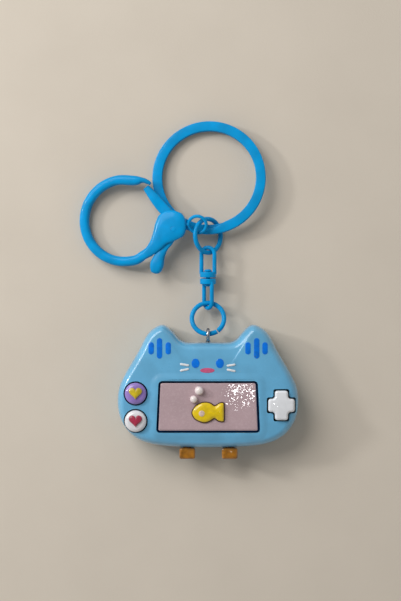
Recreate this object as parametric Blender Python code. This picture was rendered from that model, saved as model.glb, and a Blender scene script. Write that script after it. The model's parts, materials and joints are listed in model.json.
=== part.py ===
"""Virtual pet keychain: a cat-shaped toy console hung on a swivel chain with a
split key ring and a lobster clasp.  It lies on its back: +X right, +Y towards
the key ring, +Z out of the screen, origin on the flat back."""

import math

import bmesh
import bpy
from mathutils import Matrix, Vector

MM = 0.001
GAP = 0.3                     # clearance between pieces that seat on each other, mm

# Console case, mm
OUTLINE_HALF = [              # right half of the cat-head outline, top centre to bottom centre
    (0.0, 13.8), (5.2, 13.8), (7.4, 14.5), (9.3, 16.6), (11.0, 18.2), (12.3, 18.55),
    (13.6, 18.1), (15.2, 17.0), (16.6, 15.2), (17.9, 12.6), (19.7, 9.4), (22.1, 5.3),
    (23.6, 1.8), (24.0, -1.6), (23.6, -5.2), (22.3, -8.2), (20.0, -10.8), (16.6, -12.6),
    (11.0, -13.6), (0.0, -14.0)]
OUTLINE_STEPS = 72
CASE_DEPTH = 11.0
PARTING_Z = 3.6
PARTING_GAP = 0.3
SIDE_WALL = 1.3
FRONT_WALL = 1.5
REAR_FLOOR = 2.0
FRONT_EDGE_INSET = 2.2
FRONT_EDGE_DROP = 3.8
DOME_RISE = 0.6               # crown of the face above its rounded edge
DOME_CENTRE = (0.0, -1.0)
DOME_RADIUS = 14.0            # the crown's inner rounds turn towards a circle
REAR_EDGE = 1.7
LIP_HEIGHT = 0.3
LIP_WIDTH = 1.6

# Screen window, mm
WINDOW_TOP_HALF = 13.05
WINDOW_BOTTOM_HALF = 13.7
WINDOW_TOP_Y = 3.8
WINDOW_BOTTOM_Y = -9.85
WINDOW_CORNER = 1.8
PANEL_GAP = 0.45
PANEL_TOP_Z = 10.7
TRIM_GAP = 0.1

# Controls, mm
BUTTON_CENTRES = {"upper": (-19.1, 0.5), "lower": (-19.1, -6.75)}
BUTTON_RADIUS = 2.85
SOCKET_RADIUS = 3.2
BUTTON_TOP_Z = 11.9
BUTTON_FOOT_Z = 7.9
DPAD_CENTRE = (19.3, -2.6)
DPAD_HALF_X = 3.5
DPAD_HALF_Y = 3.9
DPAD_ARM_HALF = 1.75
DPAD_TOP_Z = 11.9
DPAD_FOOT_Z = 7.6

# Feet, mm
FOOT_X = {"left": -5.5, "right": 5.75}
FOOT_HALF = 2.1
FOOT_END_Y = -17.0
FOOT_Z = 6.4

# Inner works, mm
BOARD_BOTTOM_Z = 4.4
BOARD_TOP_Z = 5.2
CELL_CENTRE = (-10.0, 1.0)
CELL_RADIUS = 6.25
CELL_HEIGHT = 2.0
BUZZER_CENTRE = (10.5, 0.0)
BUZZER_RADIUS = 4.6
CASE_SCREWS = {"left": (-12.3, 12.4), "right": (12.3, 12.4)}
DOOR_SCREW = (-10.0, -7.1)
DOOR_X = (-17.5, -2.5)
DOOR_Y = (-9.2, 8.6)

# Chain, mm
EYE_CENTRE = (0.0, 15.8, 5.2)
EYE_RADIUS = 1.45
EYE_WIRE = 0.45
RING_WIRE = 0.62
LOWER_RING_RADIUS = 4.3
LOWER_RING_START_Y = 16.1
LOWER_RING_TILT = math.radians(17.0)
UPPER_RING_RADIUS = 4.5
UPPER_RING_CENTRE = (0.0, 42.3, 3.6)
UPPER_RING_TILT = math.radians(41.0)
RING_SPLIT = math.radians(5.0)
LINK_WIRE = 0.55
LINK_HALF = 1.8
LINK_REACH = 1.35             # end bar centre beyond the ring wire it holds
LOWER_LINK_ROLL = math.radians(-55.0)
UPPER_LINK_ROLL = math.radians(15.0)
COLLAR_RADIUS = 2.15
COLLAR_HEIGHT = 1.5
COLLAR_GAP = 0.3
RIVET_RADIUS = 0.55
RIVET_HEAD = 1.0

# Split key ring, mm
KEY_RING_CENTRE = (0.3, 57.9, 2.36)
KEY_RING_INNER = 12.6
KEY_RING_OUTER = 15.2
KEY_BAND = 0.65
KEY_LAYER_GAP = 0.48
KEY_SLOPE = (0.07, 0.065)    # rise per mm along +X and along -Y
KEY_UPPER_START = -92.0       # degrees, end of the upper turn
KEY_FALL_START = 228.0
KEY_FALL_END = 262.0
KEY_LOWER_END = 578.0
KEY_TIP_WIDTH = 0.45          # the upper end narrows to its outer edge
KEY_TIP_ANGLE = 40.0
KEY_STEP = 9.0
KEY_RING_PIVOT = (0.3, 44.8, 3.2)

# Lobster clasp, mm; u runs along the clasp to its eyelet, v across it
EYELET_CENTRE = (-2.8, 45.2, 6.2)
CLASP_SLOPE = math.radians(9.1)
EYELET_ANGLE = math.radians(142.0)    # where the eyelet hangs on the upper jump ring
EYELET_RADIUS = 2.35
EYELET_WIRE = 0.45
EYELET_ROLL = math.radians(22.0)
HOOK_CENTRE = (-19.76, 1.2)
HOOK_RADIUS = 11.0
HOOK_WIRE = 1.3
PIN_CENTRE = (-6.25, -1.3)
PIN_RADIUS = 0.6
SLOT_HALF = 1.0
SLOT_HUB = 2.3
LEVER_HALF = 0.7


def srgb(red, green, blue):
    """Linear colour from 8-bit display values."""
    return tuple((channel / 255.0) ** 2.2 for channel in (red, green, blue)) + (1.0,)


def material(name, colour, roughness, metallic=0.0):
    mat = bpy.data.materials.new(name)
    mat.use_nodes = True
    shader = mat.node_tree.nodes["Principled BSDF"]
    shader.inputs["Base Color"].default_value = colour
    shader.inputs["Roughness"].default_value = roughness
    shader.inputs["Metallic"].default_value = metallic
    return mat


def spline(points, per_span, closed=False):
    """Catmull-Rom curve through points of any dimension."""
    rows = [Vector(point) for point in points]
    count = len(rows)
    spans = count if closed else count - 1
    samples = []
    for span in range(spans):
        if closed:
            p0, p1, p2, p3 = (rows[(span + shift) % count] for shift in (-1, 0, 1, 2))
        else:
            p1, p2 = rows[span], rows[span + 1]
            p0 = rows[span - 1] if span > 0 else p1 * 2 - p2
            p3 = rows[span + 2] if span + 2 < count else p2 * 2 - p1
        for step in range(per_span):
            t = step / per_span
            samples.append(0.5 * (2 * p1 + (p2 - p0) * t + (2 * p0 - 5 * p1 + 4 * p2 - p3) * t * t
                                  + (3 * p1 - p0 - 3 * p2 + p3) * t ** 3))
    if not closed:
        samples.append(rows[-1])
    return samples


def even_steps(points, count):
    """Resample a closed plane outline at equal arc lengths."""
    lengths = [0.0]
    for here, after in zip(points, points[1:] + points[:1]):
        lengths.append(lengths[-1] + (after - here).length)
    samples = []
    index = 0
    for step in range(count):
        target = lengths[-1] * step / count
        while lengths[index + 1] < target:
            index += 1
        share = (target - lengths[index]) / (lengths[index + 1] - lengths[index])
        samples.append(points[index].lerp(points[(index + 1) % len(points)], share))
    return samples


def inset(outline, distance):
    """Move a clockwise plane outline inwards along its point normals."""
    moved = []
    for before, here, after in zip(outline[-1:] + outline[:-1], outline, outline[1:] + outline[:1]):
        tangent = (after - before).normalized()
        moved.append(here + Vector((tangent.y, -tangent.x)) * distance)
    return moved


def rounded(corners, radius, steps=4):
    """Clockwise outline through corners, each rounded by an arc."""
    outline = []
    count = len(corners)
    for index in range(count):
        corner = Vector(corners[index])
        to_last = (Vector(corners[index - 1]) - corner).normalized()
        to_next = (Vector(corners[(index + 1) % count]) - corner).normalized()
        half = to_last.angle(to_next) / 2
        centre = corner + (to_last + to_next).normalized() * radius / math.sin(half)
        start = corner + to_last * radius / math.tan(half) - centre
        finish = corner + to_next * radius / math.tan(half) - centre
        turn = start.angle_signed(finish)
        for step in range(steps + 1):
            angle = -turn * step / steps
            outline.append(centre + Matrix.Rotation(angle, 2) @ start)
    return outline


def rectangle(x0, x1, y0, y1, radius):
    return rounded([(x0, y1), (x1, y1), (x1, y0), (x0, y0)], radius)


def disc(centre, radius, steps=24):
    """Clockwise circle."""
    return [Vector((centre[0] + radius * math.cos(-math.tau * k / steps),
                    centre[1] + radius * math.sin(-math.tau * k / steps))) for k in range(steps)]


def level(outline, z):
    return [Vector((point.x, point.y, z)) for point in outline]


def loft(loops, ring=False):
    """Skin a row of equal point loops; an open row gets end caps."""
    bm = bmesh.new()
    rows = [[bm.verts.new(point * MM) for point in loop] for loop in loops]
    pairs = list(zip(rows, rows[1:]))
    if ring:
        pairs.append((rows[-1], rows[0]))
    else:
        bm.faces.new(rows[0])
        bm.faces.new(list(reversed(rows[-1])))
    for lower, upper in pairs:
        size = len(lower)
        for k in range(size):
            after = (k + 1) % size
            bm.faces.new((lower[after], lower[k], upper[k], upper[after]))
    if bm.calc_volume(signed=True) < 0:
        bmesh.ops.reverse_faces(bm, faces=bm.faces)
    return bm


def stack(levels):
    """Loft of plane outlines given as (outline, z)."""
    return loft([level(outline, z) for outline, z in levels])


def turned(centre, profile, steps=24):
    """Turned piece on a vertical axis from (radius, z) pairs."""
    return stack([(disc(centre, radius, steps), z) for radius, z in profile])


def sweep(rows, sides=12, power=2.5, ring=False):
    """Skin along rows of (u, v, half width, half height) in the u-v plane."""
    loops = []
    count = len(rows)
    for k, row in enumerate(rows):
        before = rows[k - 1] if ring or k > 0 else row
        after = rows[(k + 1) % count] if ring or k + 1 < count else row
        tangent = Vector((after[0] - before[0], after[1] - before[1])).normalized()
        across = Vector((-tangent.y, tangent.x, 0.0))
        loop = []
        for side in range(sides):
            angle = math.tau * (side + 0.5) / sides
            c, s = math.cos(angle), math.sin(angle)
            reach = row[2] * math.copysign(abs(c) ** (2 / power), c)
            rise = row[3] * math.copysign(abs(s) ** (2 / power), s)
            loop.append(Vector((row[0], row[1], 0.0)) + across * reach + Vector((0.0, 0.0, rise)))
        loops.append(loop)
    return loft(loops, ring)


def wire_ring(radius, wire, split=0.0, steps=28, sides=8, first=0.0):
    """Round-wire ring in the plane z = 0, spun from a circle; split leaves a gap at angle first."""
    bm = bmesh.new()
    bmesh.ops.create_circle(bm, segments=sides, radius=wire * MM)
    stand = Matrix.Rotation(first + split / 2, 4, "Z") @ Matrix.Translation((radius * MM, 0.0, 0.0))
    bmesh.ops.transform(bm, matrix=stand @ Matrix.Rotation(math.pi / 2, 4, "X"), verts=bm.verts)
    bmesh.ops.spin(bm, geom=bm.edges[:], cent=(0, 0, 0), axis=(0, 0, 1), steps=steps,
                   angle=math.tau - split, use_merge=not split)
    if split:
        bmesh.ops.holes_fill(bm, edges=[edge for edge in bm.edges if edge.is_boundary], sides=sides)
    bmesh.ops.recalc_face_normals(bm, faces=bm.faces)
    return bm


def piece(name, bm, mat, matrix=None, smooth=True):
    """Finish one mesh as a named object at its place."""
    mesh = bpy.data.meshes.new(name)
    bm.to_mesh(mesh)
    bm.free()
    obj = bpy.data.objects.new(name, mesh)
    bpy.context.scene.collection.objects.link(obj)
    mesh.materials.append(mat)
    if smooth:
        mesh.shade_smooth()
        mesh.set_sharp_from_angle(angle=math.radians(35))
    if matrix is not None:
        obj.matrix_world = matrix
    return obj


def attach(child, parent):
    """Parent an object and keep its place."""
    child.parent = parent
    child.matrix_parent_inverse = parent.matrix_world.inverted()


def combine(target, bm, operation, matrix=None):
    """Cut or join a helper solid with a Boolean modifier."""
    number = len(target.modifiers) + 1
    helper = piece(f"{target.name}_tool_{number}", bm, target.data.materials[0], matrix, smooth=False)
    helper.hide_render = True
    helper.display_type = "WIRE"
    attach(helper, target)
    modifier = target.modifiers.new(f"step_{number}", "BOOLEAN")
    modifier.operation = operation
    modifier.object = helper
    modifier.solver = "EXACT"


def place(x, y, z, *turns):
    """Matrix from a place in mm and rotations (angle, axis)."""
    matrix = Matrix.Translation(Vector((x, y, z)) * MM)
    for angle, axis in turns:
        matrix = matrix @ Matrix.Rotation(angle, 4, axis)
    return matrix


def case_outline():
    left = [(-x, y) for x, y in reversed(OUTLINE_HALF[1:-1])]
    return even_steps(spline(OUTLINE_HALF + left, 8, closed=True), OUTLINE_STEPS)


def window_outline(margin):
    slant = (WINDOW_BOTTOM_HALF - WINDOW_TOP_HALF) / (WINDOW_TOP_Y - WINDOW_BOTTOM_Y)
    top_half = WINDOW_TOP_HALF + margin * (1 - slant)
    bottom_half = WINDOW_BOTTOM_HALF + margin * (1 + slant)
    corners = [(-top_half, WINDOW_TOP_Y + margin), (top_half, WINDOW_TOP_Y + margin),
               (bottom_half, WINDOW_BOTTOM_Y - margin), (-bottom_half, WINDOW_BOTTOM_Y - margin)]
    return rounded(corners, WINDOW_CORNER + margin, steps=5)


def cross_outline(margin):
    """Plus-shaped outline of the direction pad, clockwise."""
    x, y = DPAD_CENTRE
    arm = DPAD_ARM_HALF + margin
    reach_x = DPAD_HALF_X + margin
    reach_y = DPAD_HALF_Y + margin
    corners = [(-arm, reach_y), (arm, reach_y), (arm, arm), (reach_x, arm), (reach_x, -arm), (arm, -arm),
               (arm, -reach_y), (-arm, -reach_y), (-arm, -arm), (-reach_x, -arm), (-reach_x, arm), (-arm, arm)]
    return rounded([(x + dx, y + dy) for dx, dy in corners], 0.55, steps=2)


def heart_outline(centre, width):
    """Clockwise heart from its usual parametric curve."""
    scale = width / 32.0
    points = []
    for k in range(28):
        t = math.tau * (k + 0.5) / 28
        x = 16 * math.sin(t) ** 3
        y = 13 * math.cos(t) - 5 * math.cos(2 * t) - 2 * math.cos(3 * t) - math.cos(4 * t)
        points.append(Vector((centre[0] + x * scale, centre[1] + (y + 2.5) * scale)))
    return points


def scaled(outline, share):
    """Outline drawn in towards the middle of the face, rounder the further it is drawn in."""
    centre = Vector(DOME_CENTRE)
    points = []
    for point in outline:
        reach = (point - centre).length
        drawn = share * (share * reach + (1 - share) * DOME_RADIUS)
        points.append(centre + (point - centre) * drawn / reach)
    return points


def edge_levels(outline, base_inset, edge_inset, base_z, drop, steps):
    """Outlines and heights of a softly rounded upper edge."""
    levels = []
    for step in range(steps + 1):
        angle = math.pi / 2 * step / steps
        levels.append((inset(outline, base_inset + edge_inset * (1 - math.cos(angle))),
                       base_z + drop * math.sin(angle)))
    return levels


def front_shell(mats):
    outline = case_outline()
    edge_top = CASE_DEPTH - DOME_RISE
    levels = [(inset(outline, 0.1), PARTING_Z + PARTING_GAP)]
    levels += edge_levels(outline, 0.0, FRONT_EDGE_INSET, edge_top - FRONT_EDGE_DROP, FRONT_EDGE_DROP, 5)
    edge = levels[-1][0]
    for share in (0.88, 0.7, 0.45):
        levels.append((scaled(edge, share), edge_top + DOME_RISE * (1 - share * share)))
    shell = piece("front_shell", stack(levels), mats["case"])
    ceiling = CASE_DEPTH - FRONT_WALL
    inner_drop = 2.7
    cavity = [(inset(outline, SIDE_WALL), PARTING_Z - 1.0)]
    combine(shell, stack(cavity + edge_levels(
        outline, SIDE_WALL, 1.0, ceiling - inner_drop, inner_drop, 3)), "DIFFERENCE")
    lip_top = CASE_DEPTH + LIP_HEIGHT
    lip = [(LIP_WIDTH, edge_top - 0.3), (LIP_WIDTH, CASE_DEPTH - 0.3), (LIP_WIDTH - 0.15, CASE_DEPTH),
           (LIP_WIDTH - 0.45, lip_top - 0.08), (LIP_WIDTH - 0.9, lip_top)]
    combine(shell, stack([(window_outline(margin), z) for margin, z in lip]), "UNION")
    for centre in CASE_SCREWS.values():
        combine(shell, turned(centre, [(1.9, PARTING_Z + PARTING_GAP), (1.9, ceiling + 0.6)], 16), "UNION")
        combine(shell, turned(centre, [(0.9, PARTING_Z), (0.9, ceiling - 0.2)], 12), "DIFFERENCE")
    eye_x, eye_y, eye_z = EYE_CENTRE
    along_y = (-math.pi / 2, "X")
    boss = [(1.25, 0.0), (1.25, 3.7)]
    combine(shell, turned((0, 0), boss, 16), "UNION", place(eye_x, 9.5, eye_z, along_y))
    bore = [(0.8, 0.0), (0.8, 6.0)]
    combine(shell, turned((0, 0), bore, 12), "DIFFERENCE", place(eye_x, 9.0, eye_z, along_y))
    above = lip_top + 1.0
    opening = window_outline(0.0)
    combine(shell, stack([(opening, ceiling - 0.8), (opening, above)]), "DIFFERENCE")
    for centre in BUTTON_CENTRES.values():
        combine(shell, turned(centre, [(SOCKET_RADIUS, 6.2), (SOCKET_RADIUS, above)], 28), "DIFFERENCE")
    opening = cross_outline(0.35)
    combine(shell, stack([(opening, 6.2), (opening, above)]), "DIFFERENCE")
    for x in FOOT_X.values():
        slot = rectangle(x - 1.35, x + 1.35, -15.5, -11.2, 0.2)
        combine(shell, stack([(slot, FOOT_Z - 1.3), (slot, FOOT_Z + 1.3)]), "DIFFERENCE")
    return shell


def rear_shell(mats):
    outline = case_outline()
    rounding = []
    for step in range(4):
        angle = math.pi / 2 * step / 3
        drawn_in = REAR_EDGE * (1 - math.sin(angle))
        rounding.append((inset(outline, drawn_in), REAR_EDGE * (1 - math.cos(angle))))
    tongue = inset(outline, SIDE_WALL + GAP)
    top = [(outline, PARTING_Z), (tongue, PARTING_Z), (tongue, PARTING_Z + 1.1)]
    shell = piece("rear_shell", stack(rounding + top), mats["case"])
    inner = inset(outline, SIDE_WALL + GAP + 0.7)
    combine(shell, stack([(inner, REAR_FLOOR), (inner, PARTING_Z + 3.0)]), "DIFFERENCE")
    notch = rectangle(-1.7, 1.7, 9.0, 15.0, 0.2)
    combine(shell, stack([(notch, PARTING_Z - 0.05), (notch, PARTING_Z + 3.0)]), "DIFFERENCE")
    below = REAR_FLOOR - 0.5
    for centre in CASE_SCREWS.values():
        combine(shell, turned(centre, [(1.9, below), (1.9, PARTING_Z)], 16), "UNION")
        combine(shell, turned(centre, [(0.95, -1.0), (0.95, PARTING_Z + 1.0)], 12), "DIFFERENCE")
        combine(shell, turned(centre, [(1.75, -1.0), (1.75, 1.3)], 16), "DIFFERENCE")
    combine(shell, turned(DOOR_SCREW, [(1.8, below), (1.8, PARTING_Z + 0.1)], 16), "UNION")
    for x, y in ((17.0, 5.0), (18.0, -6.0), (1.0, 7.5), (1.0, -8.2)):
        combine(shell, turned((x, y), [(1.0, below), (1.0, BOARD_BOTTOM_Z - GAP)], 10), "UNION")
    recess = rectangle(DOOR_X[0] - 0.25, DOOR_X[1] + 0.25, DOOR_Y[0] - 0.25, DOOR_Y[1] + 0.25, 2.5)
    combine(shell, stack([(recess, -1.0), (recess, 1.3)]), "DIFFERENCE")
    bay = CELL_RADIUS + 0.35
    combine(shell, turned(CELL_CENTRE, [(bay, -0.5), (bay, 3.0)], 28), "DIFFERENCE")
    combine(shell, turned(DOOR_SCREW, [(0.9, -0.5), (0.9, PARTING_Z - 0.4)], 12), "DIFFERENCE")
    x, y = BUZZER_CENTRE
    sixth = math.pi / 3
    holes = [(x, y)] + [(x + 2.2 * math.cos(k * sixth), y + 2.2 * math.sin(k * sixth)) for k in range(6)]
    for hole in holes:
        combine(shell, turned(hole, [(0.55, -1.0), (0.55, REAR_FLOOR + 1.0)], 8), "DIFFERENCE")
    return shell


def screen_group(mats):
    """Panel in the window, with the fish and the half pearls on it."""
    flange_top = CASE_DEPTH - FRONT_WALL - GAP
    body = window_outline(-PANEL_GAP)
    piece("screen_panel", stack([
        (window_outline(0.7), flange_top - 0.8), (window_outline(0.7), flange_top), (body, flange_top),
        (body, PANEL_TOP_Z - 0.15), (window_outline(-PANEL_GAP - 0.2), PANEL_TOP_Z)]), mats["panel"])
    base = PANEL_TOP_Z + TRIM_GAP
    fish = even_steps(spline([
        (-4.4, -4.5), (-3.6, -2.85), (-2.05, -1.85), (-0.65, -1.6), (0.75, -1.9), (1.75, -2.55),
        (2.75, -1.95), (3.7, -1.7), (4.3, -2.1), (4.4, -4.4), (4.3, -6.7), (3.7, -7.05), (2.5, -6.8),
        (1.65, -6.2), (0.45, -6.9), (-0.95, -7.3), (-2.35, -6.95), (-3.75, -6.1)], 6, closed=True), 48)
    piece("fish_relief", stack([
        (fish, base), (fish, base + 0.25), (inset(fish, 0.1), base + 0.5), (inset(fish, 0.25), base + 0.75),
        (inset(fish, 0.42), base + 0.9)]), mats["fish"])
    for name, x, y, radius in (("pearl_large", -2.4, 1.3, 1.2), ("pearl_small", -3.8, -0.95, 1.0)):
        profile = [(0.8, 0.0), (1.0, 0.5), (0.95, 0.9), (0.72, 1.28), (0.4, 1.5), (0.12, 1.57)]
        piece(name, turned((x, y), [(r * radius, base + z * radius) for r, z in profile], 16), mats["pearl"])


def button(mats, place_name):
    """Round push button with a retaining tab, and its raised heart."""
    x, y = BUTTON_CENTRES[place_name]
    crown = [(2.0, BUTTON_FOOT_Z), (2.0, 8.45), (BUTTON_RADIUS, 8.5), (BUTTON_RADIUS, BUTTON_TOP_Z - 0.9),
             (BUTTON_RADIUS - 0.12, BUTTON_TOP_Z - 0.55), (BUTTON_RADIUS - 0.4, BUTTON_TOP_Z - 0.25),
             (BUTTON_RADIUS - 0.8, BUTTON_TOP_Z - 0.08), (1.2, BUTTON_TOP_Z)]
    cap = piece(f"button_{place_name}", turned((x, y), crown, 24), mats[f"button_{place_name}"])
    tab = rectangle(x, x + 3.7, y - 1.6, y + 1.6, 0.3)
    combine(cap, stack([(tab, 8.6), (tab, 9.2)]), "UNION")
    heart = heart_outline((x, y), 3.5)
    base = BUTTON_TOP_Z + TRIM_GAP
    piece(f"heart_{place_name}", stack([
        (heart, base), (heart, base + 0.2), (inset(heart, 0.12), base + 0.42),
        (inset(heart, 0.34), base + 0.55)]), mats[f"heart_{place_name}"])


def direction_pad(mats):
    cross = piece("dpad_cross", stack([
        (cross_outline(0.0), DPAD_FOOT_Z), (cross_outline(0.0), DPAD_TOP_Z - 0.5),
        (cross_outline(-0.15), DPAD_TOP_Z - 0.15), (cross_outline(-0.45), DPAD_TOP_Z)]), mats["dpad"])
    x, y = DPAD_CENTRE
    flange = rectangle(x - 2.45, x + 2.45, y - 2.45, y + 2.45, 0.3)
    combine(cross, stack([(flange, 8.0), (flange, 8.6)]), "UNION")
    piece("dpad_pivot", turned(DPAD_CENTRE, [
        (0.9, BOARD_TOP_Z + GAP), (0.9, 6.9), (0.7, 7.15), (0.35, DPAD_FOOT_Z - 0.3)], 16), mats["frame"])


def keypads(mats):
    """Rubber domes under the two buttons, and under the four arms of the cross."""
    base, skin = BOARD_TOP_Z + GAP, BOARD_TOP_Z + GAP + 0.5
    x, y_up = BUTTON_CENTRES["upper"]
    y_down = BUTTON_CENTRES["lower"][1]
    strip = rectangle(x - 1.85, x + 1.85, y_down - 1.85, y_up + 1.85, 1.8)
    pad = piece("keypad_buttons", stack([(strip, base), (strip, skin)]), mats["rubber"])
    for centre in BUTTON_CENTRES.values():
        combine(pad, turned(centre, [(1.6, skin - 0.2), (1.3, 6.7), (1.1, 7.0)], 16), "UNION")
    pad = piece("keypad_dpad", turned(DPAD_CENTRE, [(3.0, base), (3.0, skin)], 24), mats["rubber"])
    combine(pad, turned(DPAD_CENTRE, [(1.2, base - 1.0), (1.2, skin + 1.0)], 16), "DIFFERENCE")
    for dx, dy in ((2.05, 0.0), (-2.05, 0.0), (0.0, 2.05), (0.0, -2.05)):
        nub = (DPAD_CENTRE[0] + dx, DPAD_CENTRE[1] + dy)
        combine(pad, turned(nub, [(0.75, skin - 0.2), (0.6, 6.7)], 10), "UNION")


def inner_works(mats):
    """Board with its potted chip, the cell with its contact leaf, and the buzzer."""
    shape = [Vector((point.x, min(point.y, 9.0))) for point in inset(case_outline(), 3.0)]
    piece("circuit_board", stack([(shape, BOARD_BOTTOM_Z), (shape, BOARD_TOP_Z)]), mats["board"])
    base = BOARD_TOP_Z + TRIM_GAP
    piece("chip_blob", turned((2.0, -1.5), [
        (2.8, base), (2.5, base + 0.4), (1.7, base + 0.75), (0.6, base + 0.9)], 18), mats["potting"])
    cell_z = 1.1 + GAP
    cell = [(CELL_RADIUS - 0.8, cell_z), (CELL_RADIUS, cell_z + 0.25), (CELL_RADIUS, cell_z + CELL_HEIGHT)]
    piece("coin_cell", turned(CELL_CENTRE, cell, 24), mats["steel"])
    bend = [(-4.0, 0.45), (-2.0, 0.38), (0.0, 0.0), (2.0, 0.38), (4.0, 0.45)]
    leaf = [(x, rise, 0.08, 1.2) for x, rise in bend]
    leaf_z = cell_z + CELL_HEIGHT + 0.2
    piece("cell_contact", sweep(spline(leaf, 3), sides=8, power=6.0), mats["steel"],
          place(CELL_CENTRE[0], CELL_CENTRE[1], leaf_z, (math.pi / 2, "X")))
    piece("buzzer", turned(BUZZER_CENTRE, [
        (BUZZER_RADIUS, REAR_FLOOR + GAP), (BUZZER_RADIUS, 3.3), (3.6, 3.4), (3.6, BOARD_BOTTOM_Z - GAP)], 20),
        mats["brass"])


def rear_fittings(mats):
    shape = rectangle(*DOOR_X, *DOOR_Y, 2.3)
    door = piece("battery_door", stack([(shape, 0.1), (shape, 1.1)]), mats["case"])
    combine(door, turned(DOOR_SCREW, [(0.95, -1.0), (0.95, 2.0)], 12), "DIFFERENCE")
    combine(door, turned(DOOR_SCREW, [(1.75, -1.0), (1.75, 0.75)], 16), "DIFFERENCE")
    piece("door_screw", turned(DOOR_SCREW, [
        (1.2, 0.15), (1.5, 0.3), (1.5, 0.65), (0.7, 0.65), (0.7, 2.7), (0.35, 3.0)], 14), mats["steel"])
    for side, centre in CASE_SCREWS.items():
        piece(f"case_screw_{side}", turned(centre, [
            (1.2, 0.3), (1.5, 0.5), (1.5, 1.1), (0.7, 1.1), (0.7, 8.2), (0.35, 8.7)], 14), mats["steel"])


def feet(mats):
    """Amber blocks with a tenon in the lower wall."""
    for side, x in FOOT_X.items():
        sole = rectangle(x - FOOT_HALF, x + FOOT_HALF, FOOT_END_Y, -14.25, 0.45)
        thin = rectangle(x - FOOT_HALF + 0.3, x + FOOT_HALF - 0.3, FOOT_END_Y + 0.3, -14.4, 0.35)
        levels = [(thin, FOOT_Z - 2.1), (sole, FOOT_Z - 1.8), (sole, FOOT_Z + 1.8), (thin, FOOT_Z + 2.1)]
        block = piece(f"foot_{side}", stack(levels), mats["amber"])
        tenon = rectangle(x - 1.1, x + 1.1, -15.0, -12.2, 0.2)
        combine(block, stack([(tenon, FOOT_Z - 1.05), (tenon, FOOT_Z + 1.05)]), "UNION")


def screw_eye(mats):
    x, y, z = EYE_CENTRE
    eye = piece("screw_eye", wire_ring(EYE_RADIUS, EYE_WIRE, steps=20), mats["steel"],
                place(x, y, z, (math.pi / 2, "Y")))
    shank = [(0.25, 0.0), (0.6, 0.7), (0.6, 4.6)]
    combine(eye, turned((0, 0), shank, 12), "UNION", place(x, 9.8, z, (-math.pi / 2, "X")))


def lower_ring_point(reach):
    """Point of the lower jump ring's plane, reach mm from the wire held by the screw eye."""
    return Vector((0.0, LOWER_RING_START_Y + reach * math.cos(LOWER_RING_TILT),
                   EYE_CENTRE[2] - reach * math.sin(LOWER_RING_TILT)))


def swivel_frame():
    """Wire centres that the two links hold, and the distance between them."""
    start = lower_ring_point(2 * LOWER_RING_RADIUS)
    finish = Vector(UPPER_RING_CENTRE) - Vector((0.0, UPPER_RING_RADIUS, 0.0))
    return start, finish, (finish - start).length


def link_matrix(origin, direction, across, roll):
    """Link frame: u along the swivel, v between the two bars."""
    along = direction.normalized()
    normal = along.cross(across).normalized()
    basis = Matrix((along, normal.cross(along), normal)).transposed().to_4x4()
    return Matrix.Translation(origin * MM) @ basis @ Matrix.Rotation(roll, 4, "X")


def swivel_link(name, mats, matrix, meeting):
    """U-shaped wire stirrup closed by a round collar with the rivet hole."""
    collar_end = meeting - COLLAR_GAP / 2
    collar_start = collar_end - COLLAR_HEIGHT
    bend = LINK_HALF - LINK_REACH
    rows = [(collar_start + 0.6, -LINK_HALF), (collar_start / 2, -LINK_HALF)]
    for step in range(11):
        angle = math.pi * (0.5 + step / 10)
        rows.append((bend + LINK_HALF * math.cos(angle), -LINK_HALF * math.sin(angle)))
    rows += [(collar_start / 2, LINK_HALF), (collar_start + 0.6, LINK_HALF)]
    link = piece(name, sweep([(u, v, LINK_WIRE, LINK_WIRE) for u, v in rows], sides=8, power=2.0),
                 mats["blue_metal"], matrix)
    along_u = (math.pi / 2, "Y")
    edge = 0.2
    collar = [(COLLAR_RADIUS - edge, 0.0), (COLLAR_RADIUS, edge), (COLLAR_RADIUS, COLLAR_HEIGHT - edge),
              (COLLAR_RADIUS - edge, COLLAR_HEIGHT)]
    combine(link, turned((0, 0), collar, 20), "UNION", matrix @ place(collar_start, 0, 0, along_u))
    bore = RIVET_RADIUS + 0.2
    combine(link, turned((0, 0), [(bore, 0.0), (bore, COLLAR_HEIGHT + 1.0)], 14), "DIFFERENCE",
            matrix @ place(collar_start - 0.5, 0, 0, along_u))


def chain(mats):
    """Jump rings and the two-link swivel between them."""
    _, mid_y, mid_z = lower_ring_point(LOWER_RING_RADIUS)
    piece("lower_jump_ring", wire_ring(LOWER_RING_RADIUS, RING_WIRE, RING_SPLIT, first=math.radians(-55.0)),
          mats["blue_metal"], place(0, mid_y, mid_z, (-LOWER_RING_TILT, "X")))
    start, finish, length = swivel_frame()
    lower = link_matrix(start, finish - start, Vector((-1.0, 0.0, 0.0)), LOWER_LINK_ROLL)
    upper = link_matrix(finish, start - finish, Vector((1.0, 0.0, 0.0)), UPPER_LINK_ROLL)
    swivel_link("swivel_lower_link", mats, lower, length / 2)
    swivel_link("swivel_upper_link", mats, upper, length / 2)
    half = COLLAR_GAP / 2 + COLLAR_HEIGHT + 0.1
    profile = [(RIVET_HEAD - 0.15, -half - 0.55), (RIVET_HEAD, -half - 0.4), (RIVET_HEAD, -half),
               (RIVET_RADIUS, -half), (RIVET_RADIUS, half), (RIVET_HEAD, half), (RIVET_HEAD, half + 0.4),
               (RIVET_HEAD - 0.15, half + 0.55)]
    piece("swivel_rivet", turned((0, 0), profile, 16), mats["blue_metal"],
          lower @ place(length / 2, 0, 0, (math.pi / 2, "Y")))
    piece("upper_jump_ring", wire_ring(UPPER_RING_RADIUS, RING_WIRE, RING_SPLIT, first=math.radians(25.0)),
          mats["blue_metal"], place(*UPPER_RING_CENTRE, (UPPER_RING_TILT, "Y")))


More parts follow.
